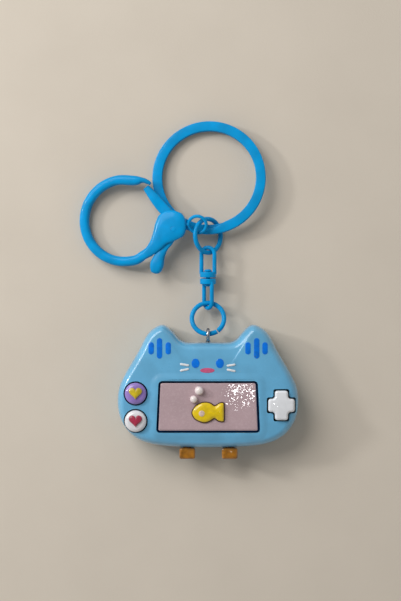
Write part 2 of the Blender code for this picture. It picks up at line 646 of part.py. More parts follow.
def key_ring_loops():
    """Cross-sections of the flat band along its two turns."""
    half = (KEY_RING_OUTER - KEY_RING_INNER) / 2
    edge = KEY_BAND / 2
    bevel = 0.14
    shape = [(-half, -edge + bevel), (-half, edge - bevel), (-half + bevel, edge), (half - bevel, edge),
             (half, edge - bevel), (half, -edge + bevel), (half - bevel, -edge), (-half + bevel, -edge)]
    layer = (KEY_BAND + KEY_LAYER_GAP) / 2
    radius = (KEY_RING_INNER + KEY_RING_OUTER) / 2
    count = round((KEY_LOWER_END - KEY_UPPER_START) / KEY_STEP)
    loops = []
    for step in range(count + 1):
        degrees = KEY_UPPER_START + (KEY_LOWER_END - KEY_UPPER_START) * step / count
        share = min(max((degrees - KEY_FALL_START) / (KEY_FALL_END - KEY_FALL_START), 0.0), 1.0)
        height = layer - 2 * layer * share * share * (3 - 2 * share)
        out = Vector((math.cos(math.radians(degrees)), math.sin(math.radians(degrees)), 0.0))
        width = min(1.0, KEY_TIP_WIDTH + (degrees - KEY_UPPER_START) / KEY_TIP_ANGLE)
        middle = radius + half * (1 - width)
        centre = out * middle + Vector((0.0, 0.0, height))
        loops.append([centre + out * across * width + Vector((0.0, 0.0, rise)) for across, rise in shape])
    return loops


def least_gap(loops):
    """Least distance between points of the band that lie more than half a turn apart along it."""
    apart = round(180 / KEY_STEP)
    return min((first - second).length
               for index, loop in enumerate(loops) for other in loops[index + apart:]
               for first in loop for second in other)


def split_key_ring(mats):
    loops = key_ring_loops()
    print(f"split_key_ring: least gap to itself {least_gap(loops):.2f} mm")
    rise_x, rise_y = KEY_SLOPE
    normal = Vector((-rise_x, rise_y, 1.0)).normalized()
    right = Vector((1.0, 0.0, rise_x)).normalized()
    basis = Matrix((right, normal.cross(right), normal)).transposed().to_4x4()
    piece("split_key_ring", loft(loops), mats["blue_metal"], place(*KEY_RING_CENTRE) @ basis)


def clasp_matrix():
    return place(*EYELET_CENTRE, (-CLASP_SLOPE, "Y"))


def clasp_eyelet(mats):
    """Swivelling eyelet whose headed post turns in the bulb."""
    matrix = clasp_matrix()
    eyelet = piece("clasp_eyelet", wire_ring(EYELET_RADIUS, EYELET_WIRE, steps=20), mats["blue_metal"],
                   matrix @ Matrix.Rotation(EYELET_ROLL, 4, "X"))
    post = [(0.75, 0.0), (0.75, 0.35), (0.5, 0.45), (0.5, 2.2)]
    combine(eyelet, turned((0, 0), post, 12), "UNION", matrix @ place(-4.45, 0, 0, (math.pi / 2, "Y")))


def clasp_rows():
    """Centre line of the hook, from its nose round into the bulb: u, v, half width, half height."""
    u, v = HOOK_CENTRE
    rows = [(-12.75, 11.0, 0.4, 0.65), (-13.6, 11.5, 0.6, 0.9), (-14.9, 11.95, 0.72, 1.1)]
    for step in range(9):
        angle = math.radians(76.0 + 26.0 * step)
        centre = (u + HOOK_RADIUS * math.cos(angle), v + HOOK_RADIUS * math.sin(angle))
        rows.append((*centre, HOOK_WIRE, HOOK_WIRE))
    rows += [(-13.2, -6.6, 1.6, 1.4), (-10.7, -4.1, 2.7, 1.6), (-8.5, -1.4, 3.75, 1.7),
             (-6.1, -0.1, 3.5, 1.7), (-4.3, 0.1, 2.3, 1.5), (-3.3, 0.1, 1.2, 1.1)]
    return rows


def slot_outline():
    """Room for the lever round its pin: one wedge for the gate, one for the thumb tab."""
    wedges = [(45.0, 71.0, 3.6), (71.0, 85.0, 5.6), (85.0, 162.0, 9.5), (162.0, 175.0, 3.4),
              (205.0, 225.0, 3.7), (225.0, 310.0, 9.0)]
    points = []
    for step in range(60):
        degrees = 6.0 * step
        reach = max([SLOT_HUB] + [reach for start, finish, reach in wedges if start <= degrees <= finish])
        angle = math.radians(degrees)
        points.append(Vector(PIN_CENTRE) + Vector((math.cos(angle), math.sin(angle))) * reach)
    return points


def clasp(mats):
    matrix = clasp_matrix()
    body = piece("clasp_body", sweep(spline(clasp_rows(), 2), sides=12), mats["blue_metal"], matrix)
    slot = slot_outline()
    combine(body, stack([(slot, -SLOT_HALF), (slot, SLOT_HALF)]), "DIFFERENCE", matrix)
    bore = PIN_RADIUS + 0.15
    combine(body, turned(PIN_CENTRE, [(bore, -4.0), (bore, 4.0)], 14), "DIFFERENCE", matrix)
    combine(body, turned((0, 0), [(0.95, 0.0), (0.95, 3.0)], 14), "DIFFERENCE",
            matrix @ place(-5.0, 0, 0, (math.pi / 2, "Y")))
    gate = [(-13.85, 9.9, 0.75, 0.85), (-11.5, 7.05, 1.15, 0.95), (-9.7, 4.8, 1.4, LEVER_HALF),
            (-7.7, 2.6, 1.5, LEVER_HALF), (-6.45, 0.3, 1.5, LEVER_HALF), (-6.35, -2.2, 1.45, LEVER_HALF),
            (-7.6, -4.4, 1.2, LEVER_HALF), (-9.0, -6.1, 1.1, LEVER_HALF), (-10.2, -8.3, 1.4, 1.1),
            (-10.9, -10.4, 1.8, 1.35), (-11.2, -12.1, 1.5, 1.2), (-11.25, -12.9, 0.7, 0.7)]
    lever = piece("clasp_lever", sweep(spline(gate, 2), sides=10, power=3.0), mats["blue_metal"], matrix)
    combine(lever, turned(PIN_CENTRE, [(bore, -4.0), (bore, 4.0)], 14), "DIFFERENCE", matrix)
    pin = [(PIN_RADIUS - 0.15, -1.75), (PIN_RADIUS, -1.6), (PIN_RADIUS, 1.6), (PIN_RADIUS - 0.15, 1.75)]
    piece("clasp_pin", turned(PIN_CENTRE, pin, 14), mats["blue_metal"], matrix)
    leaf = []
    for step in range(7):
        angle = math.radians(-27.0 + 5.5 * step)
        u = PIN_CENTRE[0] + 2.08 * math.cos(angle)
        leaf.append((u, PIN_CENTRE[1] + 2.08 * math.sin(angle), 0.1, 0.6))
    piece("clasp_spring", sweep(leaf, sides=8, power=6.0), mats["steel"], matrix)


def joint_empties():
    """Empties whose X axes are the joint axes; each carries its pieces and the joints further out."""
    start, finish, length = swivel_frame()
    swivel = link_matrix(start, finish - start, Vector((-1.0, 0.0, 0.0)), 0.0)
    upper_ring = place(*UPPER_RING_CENTRE, (UPPER_RING_TILT, "Y"))
    on_wire = Matrix.Rotation(EYELET_ANGLE, 4, "Z") @ place(UPPER_RING_RADIUS, 0, 0, (-math.pi / 2, "Z"))
    upright = (-math.pi / 2, "Y")
    downwards = (math.pi / 2, "Y")
    rows = [
        ("upper_button_press", None, place(*BUTTON_CENTRES["upper"], BUTTON_FOOT_Z, downwards),
         ["button_upper", "heart_upper"]),
        ("lower_button_press", None, place(*BUTTON_CENTRES["lower"], BUTTON_FOOT_Z, downwards),
         ["button_lower", "heart_lower"]),
        ("cross_tilt_up_down", None, place(*DPAD_CENTRE, DPAD_FOOT_Z - GAP), ["dpad_pivot"]),
        ("cross_tilt_left_right", "cross_tilt_up_down",
         place(*DPAD_CENTRE, DPAD_FOOT_Z - GAP, (math.pi / 2, "Z")), ["dpad_cross"]),
        ("lower_ring_swing", None, place(0, LOWER_RING_START_Y, EYE_CENTRE[2]), ["lower_jump_ring"]),
        ("swivel_link_swing", "lower_ring_swing", place(*start, (math.pi, "Z")),
         ["swivel_lower_link", "swivel_rivet"]),
        ("swivel_spin", "swivel_link_swing", swivel @ place(length / 2, 0, 0), ["swivel_upper_link"]),
        ("upper_ring_swing", "swivel_spin", upper_ring @ place(0, -UPPER_RING_RADIUS, 0), ["upper_jump_ring"]),
        ("key_ring_swing", "upper_ring_swing", place(*KEY_RING_PIVOT), ["split_key_ring"]),
        ("clasp_eyelet_swing", "upper_ring_swing", upper_ring @ on_wire, ["clasp_eyelet"]),
        ("clasp_swivel", "clasp_eyelet_swing", clasp_matrix(), ["clasp_body", "clasp_pin", "clasp_spring"]),
        ("clasp_lever_open", "clasp_swivel", clasp_matrix() @ place(*PIN_CENTRE, 0, upright), ["clasp_lever"]),
    ]
    for name, parent, matrix, names in rows:
        empty = bpy.data.objects.new(name, None)
        bpy.context.scene.collection.objects.link(empty)
        empty.matrix_world = matrix
        empty.empty_display_size = 2 * MM
        if parent:
            attach(empty, bpy.data.objects[parent])
        for piece_name in names:
            attach(bpy.data.objects[piece_name], empty)


def materials():
    return {
        "case": material("glossy_blue_plastic", srgb(104, 166, 203), 0.18),
        "panel": material("pearl_pink_panel", srgb(176, 153, 157), 0.22),
        "fish": material("yellow_resin", srgb(200, 168, 33), 0.3),
        "pearl": material("pearl_white", srgb(222, 212, 214), 0.2),
        "button_upper": material("purple_plastic", srgb(150, 120, 190), 0.25),
        "button_lower": material("white_button_plastic", srgb(222, 222, 228), 0.25),
        "heart_upper": material("yellow_heart_resin", srgb(190, 168, 54), 0.3),
        "heart_lower": material("red_heart_resin", srgb(178, 62, 88), 0.3),
        "dpad": material("pearl_white_cross", srgb(215, 217, 220), 0.2),
        "amber": material("amber_resin", srgb(124, 78, 32), 0.15),
        "frame": material("inner_grey_plastic", srgb(120, 122, 126), 0.5),
        "rubber": material("grey_silicone", srgb(140, 142, 146), 0.7),
        "board": material("green_board", srgb(38, 92, 62), 0.5),
        "potting": material("black_potting", srgb(22, 22, 24), 0.35),
        "brass": material("brass_buzzer", srgb(186, 150, 84), 0.35, 1.0),
        "steel": material("plated_steel", srgb(176, 178, 182), 0.3, 1.0),
        "blue_metal": material("blue_painted_metal", srgb(4, 132, 196), 0.3, 0.2),
    }


def main():
    for obj in list(bpy.data.objects):
        bpy.data.objects.remove(obj, do_unlink=True)
    mats = materials()
    front_shell(mats)
    rear_shell(mats)
    screen_group(mats)
    for place_name in BUTTON_CENTRES:
        button(mats, place_name)
    direction_pad(mats)
    keypads(mats)
    inner_works(mats)
    rear_fittings(mats)
    feet(mats)
    screw_eye(mats)
    chain(mats)
    split_key_ring(mats)
    clasp_eyelet(mats)
    clasp(mats)
    joint_empties()


main()
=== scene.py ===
import json
from math import atan2, copysign, cos, degrees, pi, radians, sin, tau

import bmesh
import bpy
from bpy.props import FloatProperty, FloatVectorProperty, IntProperty, PointerProperty
from bpy.types import Operator, Panel, PropertyGroup
from mathutils import Matrix, Vector
from mathutils.bvhtree import BVHTree


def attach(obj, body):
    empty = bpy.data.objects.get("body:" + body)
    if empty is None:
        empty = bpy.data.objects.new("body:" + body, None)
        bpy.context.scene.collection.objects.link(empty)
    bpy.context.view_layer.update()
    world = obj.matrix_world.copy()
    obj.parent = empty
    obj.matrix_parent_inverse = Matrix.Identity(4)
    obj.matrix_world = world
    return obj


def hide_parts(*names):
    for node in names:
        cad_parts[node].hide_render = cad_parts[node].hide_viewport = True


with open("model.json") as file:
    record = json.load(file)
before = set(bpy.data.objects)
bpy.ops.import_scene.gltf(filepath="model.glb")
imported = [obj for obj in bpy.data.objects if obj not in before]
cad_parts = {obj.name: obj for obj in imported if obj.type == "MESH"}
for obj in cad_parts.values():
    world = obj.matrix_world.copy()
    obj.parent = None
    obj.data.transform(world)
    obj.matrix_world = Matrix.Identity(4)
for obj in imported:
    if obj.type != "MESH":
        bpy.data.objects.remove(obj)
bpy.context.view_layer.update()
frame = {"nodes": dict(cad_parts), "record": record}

bl_info = {
    "name": "Virtual pet keychain looks",
    "version": (1, 0, 0),
    "blender": (4, 5, 0),
    "location": "View3D > Sidebar > Keychain",
    "description": "Builds the visible pieces, finishes and studio of a cat-shaped toy console on a key ring",
    "category": "Object",
}

MM = 0.001
CUT = "DIFFERENCE"
JOIN = "UNION"
SHARP_ANGLE = radians(35.0)
# Turn that lays an upright piece along u
ALONG_U = (pi / 2, "Y")

# Console case, mm; the outline is the right half, top centre to bottom centre
OUTLINE_HALF = [
    (0.0, 13.8), (5.2, 13.8), (7.4, 14.5), (9.3, 16.6), (11.0, 18.2), (12.3, 18.55),
    (13.6, 18.1), (15.2, 17.0), (16.6, 15.2), (17.9, 12.6), (19.7, 9.4), (22.1, 5.3),
    (23.6, 1.8), (24.0, -1.6), (23.6, -5.2), (22.3, -8.2), (20.0, -10.8), (16.6, -12.6),
    (11.0, -13.6), (0.0, -14.0)]
CASE_DEPTH = 11.0
PARTING_Z = 3.6
PARTING_GAP = 0.3
PARTING_EDGE = 0.12
RIM_HEIGHT = 1.1
HOLLOW_DROP = 2.7
SIDE_WALL = 1.3
FRONT_WALL = 1.5
REAR_FLOOR = 2.0
EDGE_INSET = 1.95
EDGE_DROP = 3.8
DOME_RISE = 0.6
DOME_CENTRE = Vector((0.0, -1.0))
DOME_RADIUS = 14.0
DOME_SMOOTHING = 10
DOME_SHARES = [1.0 - 0.08 * step for step in range(1, 12)]
REAR_EDGE = 1.7
LIP_WIDTH = 2.6
LIP_SLOPE = 2.2
LIP_HEIGHT = 0.3
LIP_ROOT = 0.7
LIP_SINK = 0.03
LIP_CUTS = 15
GAP = 0.3

# Screen, mm
WINDOW = [(-13.05, 3.8), (-13.7, -9.85), (13.7, -9.85), (13.05, 3.8)]
WINDOW_CORNER = 1.0
PANEL_GAP = 0.55
PANEL_TOP_Z = 10.7
PANEL_EDGE = 0.25
FLANGE = 0.7
TRIM_Z = 10.8
FISH = [
    (-4.4, -4.5), (-3.6, -2.85), (-2.05, -1.85), (-0.65, -1.6), (0.75, -1.9), (1.75, -2.55),
    (2.75, -1.95), (3.7, -1.7), (4.3, -2.1), (4.4, -4.4), (4.3, -6.7), (3.7, -7.05), (2.5, -6.8),
    (1.65, -6.2), (0.45, -6.9), (-0.95, -7.3), (-2.35, -6.95), (-3.75, -6.1)]
FISH_SPINE = [(-1.6, -4.45), (3.2, -4.4)]
FISH_RIM = 0.26
FISH_RISE = 0.62
FISH_EYE = (-1.7, -4.7)
FISH_EYE_PROFILE = [(0.72, 11.66), (0.78, 11.72), (0.6, 11.8), (0.3, 11.84)]
PEARLS = {"pearl_large": (-2.4, 1.3, 1.2), "pearl_small": (-3.8, -0.95, 1.0)}

# Painted face, mm: stripes as (x, half height), eyes and mouth as (x, y, half width, half height)
STRIPES = [(15.0, 1.6), (12.8, 2.7), (10.5, 1.6)]
STRIPE_Y = 12.4
STRIPE_HALF = 0.72
EYES = [(-3.3, 8.45, 1.05, 1.25), (3.1, 8.45, 1.05, 1.25)]
MOUTH = (-0.2, 6.6, 1.9, 0.65)
WHISKERS = [((-7.4, 8.3), (-5.0, 7.9)), ((-7.4, 6.5), (-5.05, 7.0)), ((4.9, 7.8), (7.2, 8.15)),
            ((4.9, 6.85), (7.2, 6.4))]
WHISKER_HALF = 0.28
PRINT_EDGE = 0.09

# Controls and feet, mm
BUTTONS = {"upper": (-19.1, 0.5), "lower": (-19.1, -6.75)}
BUTTON_RADIUS = 2.85
SOCKET_RADIUS = 3.2
SOCKET_LOW = 6.2
BUTTON_TOP_Z = 11.9
BUTTON_EDGE = (1.25, 0.92)
HEART_WIDTH = 3.5
HEART_RISE = 0.45
CROSS_CENTRE = (19.3, -2.6)
CROSS_HALF = (3.5, 3.9)
CROSS_ARM = 1.75
CROSS_CORNER = 0.75
CROSS_ROOM = 0.35
CROSS_LOW = 7.6
CROSS_WALL = 3.5
CROSS_EDGE = (0.65, 0.8)
FEET = {"left": -5.5, "right": 5.75}
FOOT_HALF = 2.1
FOOT_LENGTH = 2.95
FOOT_EDGE = 0.55
FOOT_Y = -15.525
FOOT_Z = 6.4
# Holes and pegs of the feet: y, half width, half length, half height
MORTISE = (-13.35, 1.35, 2.15, 1.3)
TENON = (-13.6, 1.1, 1.4, 1.05)

# Back, mm
SCREWS = {"case_screw_left": (-12.3, 12.4), "case_screw_right": (12.3, 12.4), "door_screw": (-10.0, -7.1)}
DOOR = [(-17.75, -9.45), (-2.25, -9.45), (-2.25, 8.85), (-17.75, 8.85)]
DOOR_CORNER = 2.5
DOOR_DEPTH = 1.3
CELL_CENTRE = (-10.0, 1.0)
CELL_RADIUS = 6.6
BUZZER_CENTRE = (10.5, 0.0)
SOUND_HOLE = 0.55
SOUND_CIRCLE = 2.2

# Chain, mm
EYE_CENTRE = (0.0, 15.8, 5.2)
EYE_RADIUS = 1.45
EYE_WIRE = 0.45
EYE_BORE = 0.8
RING_WIRE = 0.62
LOWER_RING_RADIUS = 4.3
LOWER_RING_START_Y = 16.1
LOWER_RING_TILT = radians(17.0)
UPPER_RING_RADIUS = 4.5
UPPER_RING_CENTRE = (0.0, 42.3, 3.6)
UPPER_RING_TILT = radians(41.0)
RING_SPLIT = radians(5.0)
LOWER_RING_OPENING = radians(-55.0)
UPPER_RING_OPENING = radians(25.0)
LINK_WIRE = 0.55
LINK_HALF = 1.8
LINK_REACH = 1.35
LINK_ROLLS = {"lower": radians(-55.0), "upper": radians(15.0)}
COLLAR_RADIUS = 2.15
COLLAR_HEIGHT = 1.5
COLLAR_GAP = 0.3
COLLAR_EDGE = 0.25
RIVET_RADIUS = 0.55
RIVET_HEAD = 1.0

# Split key ring, mm and degrees
KEY_CENTRE = (0.3, 57.9, 2.36)
KEY_INNER = 12.6
KEY_OUTER = 15.2
KEY_BAND = 0.65
KEY_LAYER = 1.13
KEY_SLOPE = (0.07, 0.065)
KEY_START = -92.0
KEY_FALL = (228.0, 262.0)
# Shares of the fall in its first quarter, its middle half and its last quarter: a smooth step
KEY_FALL_SHARES = (0.15625, 0.6875, 0.15625)
KEY_END = 578.0
KEY_STEP = 3.0
KEY_CORNER = 0.2
KEY_TIP_WIDTH = 0.45
KEY_TIP_ANGLE = 40.0

# Lobster clasp, mm; u runs along the clasp to its eyelet, v across it
EYELET_CENTRE = (-2.8, 45.2, 6.2)
CLASP_SLOPE = radians(9.1)
EYELET_RADIUS = 2.35
EYELET_WIRE = 0.45
EYELET_ROLL = radians(22.0)
HOOK_CENTRE = (-19.76, 1.2)
HOOK_RADIUS = 11.0
HOOK_WIRE = 1.3
HOOK_BOW = (76.0, 284.0)
BULB = [
    (-3.0, -0.6), (-3.3, 1.6), (-4.4, 3.1), (-6.6, 3.8), (-8.8, 3.5), (-10.3, 2.5), (-11.2, 0.6),
    (-11.8, -1.8), (-12.6, -4.2), (-13.8, -6.1), (-15.4, -7.5), (-16.0, -8.7), (-15.2, -9.6), (-13.2, -8.75),
    (-11.3, -7.8), (-9.6, -6.5), (-8.2, -5.2), (-6.4, -4.5), (-4.7, -3.75), (-3.5, -2.6)]
BULB_SPINE = [(-14.2, -7.9), (-6.6, -0.4)]
BULB_WALL = 0.75
BULB_CROWN = 0.95
BULB_TAPER = (-16.0, -10.3)
BULB_THINNING = 0.3
# How square the sections are: 2 is round
HOOK_POWER = 2.6
LEVER_POWER = 3.0
BULB_POWERS = (2.6, 1.9)
PIN_CENTRE = Vector((-6.25, -1.3))
PIN_RADIUS = 0.6
SLOT_HALF = 1.0
SLOT_HUB = 2.3
SLOT_WEDGES = [(45.0, 71.0, 3.6), (71.0, 85.0, 5.6), (85.0, 162.0, 9.5), (162.0, 175.0, 3.4),
               (205.0, 225.0, 3.7), (225.0, 310.0, 9.0)]
LEVER_HALF = 0.7
# Rows of (u, v, half width, half height): nose of the hook, its end in the bulb, gate from tip to thumb tab
HOOK_NOSE = [(-12.75, 11.0, 0.4, 0.65), (-13.6, 11.5, 0.6, 0.9), (-14.9, 11.95, 0.72, 1.1)]
HOOK_END = [(-14.4, -7.9, 1.2, 1.25), (-12.2, -6.1, 1.0, 1.1)]
LEVER = [
    (-13.9, 10.0, 0.9, 0.85), (-11.5, 7.05, 1.35, 0.95), (-9.7, 4.8, 1.45, LEVER_HALF),
    (-7.7, 2.6, 1.45, LEVER_HALF), (-6.45, 0.3, 1.35, LEVER_HALF), (-6.35, -2.2, 1.05, LEVER_HALF),
    (-7.6, -4.4, 1.1, LEVER_HALF), (-9.0, -6.1, 1.1, LEVER_HALF), (-10.2, -8.3, 1.4, 1.1),
    (-10.9, -10.4, 1.8, 1.35), (-11.2, -12.1, 1.5, 1.2), (-11.25, -12.8, 0.95, 0.8),
    (-11.27, -13.05, 0.3, 0.3)]

# Studio, metres: the point that camera and lights look at, lights as (size, position)
AIM = (-0.002, 0.025, 0.006)
LIGHTS = {"key": (0.42, (-0.30, 0.32, 0.42)), "side": (0.06, (-0.42, 0.16, 0.24)),
          "top": (0.009, (0.0215, -0.019, 0.44))}
SKY_COLOUR = (1.0, 0.98, 0.95, 1.0)
# Floor, mm
FLOOR_REACH = 1500.0
FLOOR_DROP = 0.03


def srgb(red, green, blue):
    """Linear colour from 8-bit display values."""
    return tuple((channel / 255.0) ** 2.2 for channel in (red, green, blue))


def colour(label, words, red, green, blue):
    return FloatVectorProperty(name=label, description=words, subtype="COLOR", size=3, min=0.0, max=1.0,
                               default=srgb(red, green, blue))


def whole(label, words, default, low, high):
    return IntProperty(name=label, description=words, default=default, min=low, max=high)


def amount(label, words, default, low, high, unit="NONE"):
    return FloatProperty(name=label, description=words, default=default, min=low, max=high, unit=unit)


class KeychainColours(PropertyGroup):
    """Paints and plastics of the keychain."""
    case: colour("Case", "Sky-blue plastic of the console", 102, 172, 212)
    panel: colour("Panel", "Pearly pink screen panel", 180, 155, 160)
    # Painted shade: the panel's sides are coloured navy to stand for the shadow deep in the gap round the
    # panel
    gap: colour("Gap", "Navy sides of the panel, seen in the gap round it", 28, 72, 124)
    fish: colour("Fish", "Yellow of the raised fish", 236, 202, 20)
    fish_rim: colour("Fish rim", "Brown line round the fish", 74, 44, 22)
    fish_eye: colour("Fish eye", "Pale dot on the fish", 232, 204, 190)
    pearl: colour("Pearl", "Half pearls on the panel", 240, 230, 226)
    button_purple: colour("Upper button", "Purple of the upper button", 150, 124, 198)
    button_white: colour("Lower button", "White of the lower button", 222, 222, 226)
    heart_yellow: colour("Upper heart", "Yellow of the upper heart", 208, 184, 36)
    heart_red: colour("Lower heart", "Raspberry of the lower heart", 176, 52, 80)
    cross: colour("Cross", "White of the direction cross", 226, 228, 232)
    amber: colour("Feet", "Amber of the two feet", 176, 114, 28)
    print_blue: colour("Blue print", "Eyes and ear stripes", 0, 116, 226)
    print_pink: colour("Pink print", "Mouth", 200, 88, 128)
    print_white: colour("White print", "Whiskers", 224, 228, 232)
    blue_metal: colour("Blue enamel", "Enamel of rings, swivel and clasp", 0, 149, 214)
    steel: colour("Steel", "Bare screws and springs", 176, 176, 178)
    floor: colour("Floor", "Plain floor under the keychain", 204, 194, 180)


class KeychainDetail(PropertyGroup):
    """How finely the pieces are made, and how they are lit."""
    outline_steps: whole("Outline steps", "Points round the case outline", 240, 72, 400)
    round_steps: whole("Round steps", "Steps round turned pieces", 56, 24, 128)
    edge_steps: whole("Edge steps", "Steps over a rounded edge", 9, 4, 16)
    print_height: amount("Print height", "Height of the painted face above the case",
                         0.00007, 0.00002, 0.0003, "LENGTH")
    whisker_height: amount("Whisker height", "Height of the raised whiskers",
                           0.00022, 0.00005, 0.0005, "LENGTH")
    camera_height: amount("Camera height", "Camera above the case's face", 0.45, 0.2, 1.0, "LENGTH")
    view_height: amount("View height", "Length of the floor seen from top to bottom",
                        0.1599, 0.1, 0.4, "LENGTH")
    key_power: amount("Key light", "Power of the soft light at the upper left", 2.4, 0.0, 50.0, "POWER")
    side_power: amount("Side light", "Power of the light at the left", 0.7, 0.0, 20.0, "POWER")
    top_power: amount("Top light", "Power of the small light beside the camera", 0.007, 0.0, 10.0, "POWER")
    sky_strength: amount("Sky", "Strength of the soft light from the sides", 0.8, 0.0, 2.0)
    overhead_strength: amount("Overhead", "Strength of the soft light from straight above", 0.15, 0.0, 2.0)


# Finishes: roughness, coat, specular, metallic, mottle share, mottles per metre, grains per metre,
# grain height in metres
FINISHES = {
    "case": (0.30, 0.8, 0.35, 0.0, 0.10, 160.0, 2600.0, 0.000012),
    "panel": (0.36, 0.9, 0.35, 0.0, 0.06, 120.0, 5200.0, 0.000020),
    # Painted shade on the panel's sides, for the shadow in the gap round the panel
    "gap": (0.6, 0.0, 0.1, 0.0, 0.15, 420.0, 2600.0, 0.000006),
    "fish": (0.30, 0.6, 0.35, 0.0, 0.18, 500.0, 2400.0, 0.000015),
    "fish_rim": (0.45, 0.2, 0.35, 0.0, 0.25, 900.0, 5000.0, 0.000010),
    "fish_eye": (0.40, 0.3, 0.35, 0.0, 0.20, 1500.0, 5000.0, 0.000005),
    "pearl": (0.20, 0.9, 0.35, 0.0, 0.05, 900.0, 3000.0, 0.000004),
    "button_purple": (0.32, 0.6, 0.35, 0.0, 0.14, 500.0, 2600.0, 0.000012),
    "button_white": (0.32, 0.6, 0.35, 0.0, 0.06, 500.0, 2600.0, 0.000012),
    "heart_yellow": (0.34, 0.5, 0.35, 0.0, 0.22, 800.0, 2600.0, 0.000012),
    "heart_red": (0.34, 0.5, 0.35, 0.0, 0.22, 800.0, 2600.0, 0.000012),
    "cross": (0.22, 0.9, 0.35, 0.0, 0.06, 380.0, 2400.0, 0.000010),
    "amber": (0.16, 1.0, 0.35, 0.0, 0.45, 480.0, 2600.0, 0.000006),
    "print_blue": (0.38, 0.3, 0.15, 0.0, 0.14, 900.0, 5000.0, 0.000008),
    "print_pink": (0.38, 0.3, 0.35, 0.0, 0.14, 900.0, 5000.0, 0.000008),
    "print_white": (0.38, 0.3, 0.35, 0.0, 0.08, 900.0, 5000.0, 0.000008),
    "blue_metal": (0.38, 0.12, 0.1, 0.0, 0.12, 260.0, 1600.0, 0.000010),
    "steel": (0.26, 0.0, 0.5, 1.0, 0.12, 600.0, 7000.0, 0.000004),
    "floor": (0.85, 0.0, 0.35, 0.0, 0.02, 40.0, 1800.0, 0.000030),
}
# Pieces inside the case: display colour, metallic
INNER_FINISHES = {
    "inner_plastic": ((216, 214, 208), 0.0),
    "silicone": ((176, 180, 186), 0.0),
    "board": ((34, 92, 58), 0.0),
    "potting": ((22, 22, 26), 0.0),
    "brass": ((196, 160, 86), 1.0),
}
# Their other values, in the same order
INNER_FINISH = (0.45, 0.0, 0.35, 0.12, 700.0, 4000.0, 0.000006)
COAT_ROUGHNESS = 0.03
SHEEN_DRIFT = (0.85, 1.2)
FLAKES_PER_METRE = 2800.0
FLAKE_TILT = 0.02
FLAKE_COLOUR = (214, 196, 200)
# Painted sheen and shade: a darker pink mixed in towards the pearls' rims, as seen from the camera
PEARL_RIM_PAINTED_SHEEN = (206, 178, 188)


def colours():
    return bpy.context.scene.keychain_colours


def detail():
    return bpy.context.scene.keychain_detail


def group_nodes(name, inputs, outputs):
    """Empty node group with its sockets, given as name and kind: (tree, input node, output node)."""
    tree = bpy.data.node_groups.new(name, "ShaderNodeTree")
    for direction, sockets in (("INPUT", inputs), ("OUTPUT", outputs)):
        for label, kind in sockets.items():
            tree.interface.new_socket(label, in_out=direction, socket_type=f"NodeSocket{kind}")
    return tree, tree.nodes.new("NodeGroupInput"), tree.nodes.new("NodeGroupOutput")


def new_node(tree, kind, settings=None, **values):
    """Shader node with its settings; values are its plain inputs, with underscores for spaces."""
    node = tree.nodes.new(f"ShaderNode{kind}")
    for name, setting in (settings or {}).items():
        setattr(node, name, setting)
    for label, value in values.items():
        node.inputs[label.replace("_", " ")].default_value = value
    return node


def wired(tree, *wires):
    """Link sockets, each wire given as (from node, output, to node, input)."""
    for source, output, target, entry in wires:
        tree.links.new(source.outputs[output], target.inputs[entry])


def mottle_group():
    """Colour that drifts between two tints, with the drift as a mask."""
    tree = bpy.data.node_groups.get("mottle")
    if tree:
        return tree
    tree, given, result = group_nodes(
        "mottle", {"Vector": "Vector", "Colour": "Color", "Tint": "Color", "Scale": "Float"},
        {"Colour": "Color", "Drift": "Float"})
    noise = new_node(tree, "TexNoise", Detail=3.0)
    stretch = new_node(tree, "MapRange", From_Min=0.3, From_Max=0.7)
    mix = new_node(tree, "Mix", {"data_type": "RGBA"})
    wired(tree, (given, "Vector", noise, "Vector"), (given, "Scale", noise, "Scale"),
          (noise, "Fac", stretch, "Value"), (stretch, "Result", mix, "Factor"), (given, "Colour", mix, "A"),
          (given, "Tint", mix, "B"), (mix, "Result", result, "Colour"), (stretch, "Result", result, "Drift"))
    return tree


def grain_group():
    """Fine grain of a moulded or painted skin, as a normal."""
    tree = bpy.data.node_groups.get("grain")
    if tree:
        return tree
    tree, given, result = group_nodes("grain", {"Vector": "Vector", "Scale": "Float", "Height": "Float"},
                                      {"Normal": "Vector"})
    noise = new_node(tree, "TexNoise", Detail=2.0)
    bump = new_node(tree, "Bump")
    wired(tree, (given, "Vector", noise, "Vector"), (given, "Scale", noise, "Scale"),
          (noise, "Fac", bump, "Height"), (given, "Height", bump, "Distance"),
          (bump, "Normal", result, "Normal"))
    return tree


def flake_group():
    """Small pearl flakes, each tilted its own way, as a normal and a mask."""
    tree = bpy.data.node_groups.get("flakes")
    if tree:
        return tree
    tree, given, result = group_nodes("flakes", {"Vector": "Vector", "Scale": "Float", "Tilt": "Float"},
                                      {"Normal": "Vector", "Mask": "Float"})
    cells = new_node(tree, "TexVoronoi")
    facing = new_node(tree, "NewGeometry")
    centred, tilted, added, unit = (new_node(tree, "VectorMath", {"operation": operation})
                                    for operation in ("SUBTRACT", "SCALE", "ADD", "NORMALIZE"))
    centred.inputs[1].default_value = (0.5, 0.5, 0.5)
    split = new_node(tree, "SeparateColor")
    wired(tree, (given, "Vector", cells, "Vector"), (given, "Scale", cells, "Scale"),
          (cells, "Color", centred, 0), (centred, "Vector", tilted, 0), (given, "Tilt", tilted, "Scale"),
          (facing, "Normal", added, 0), (tilted, "Vector", added, 1), (added, "Vector", unit, 0),
          (unit, "Vector", result, "Normal"), (cells, "Color", split, "Color"),
          (split, "Red", result, "Mask"))
    return tree


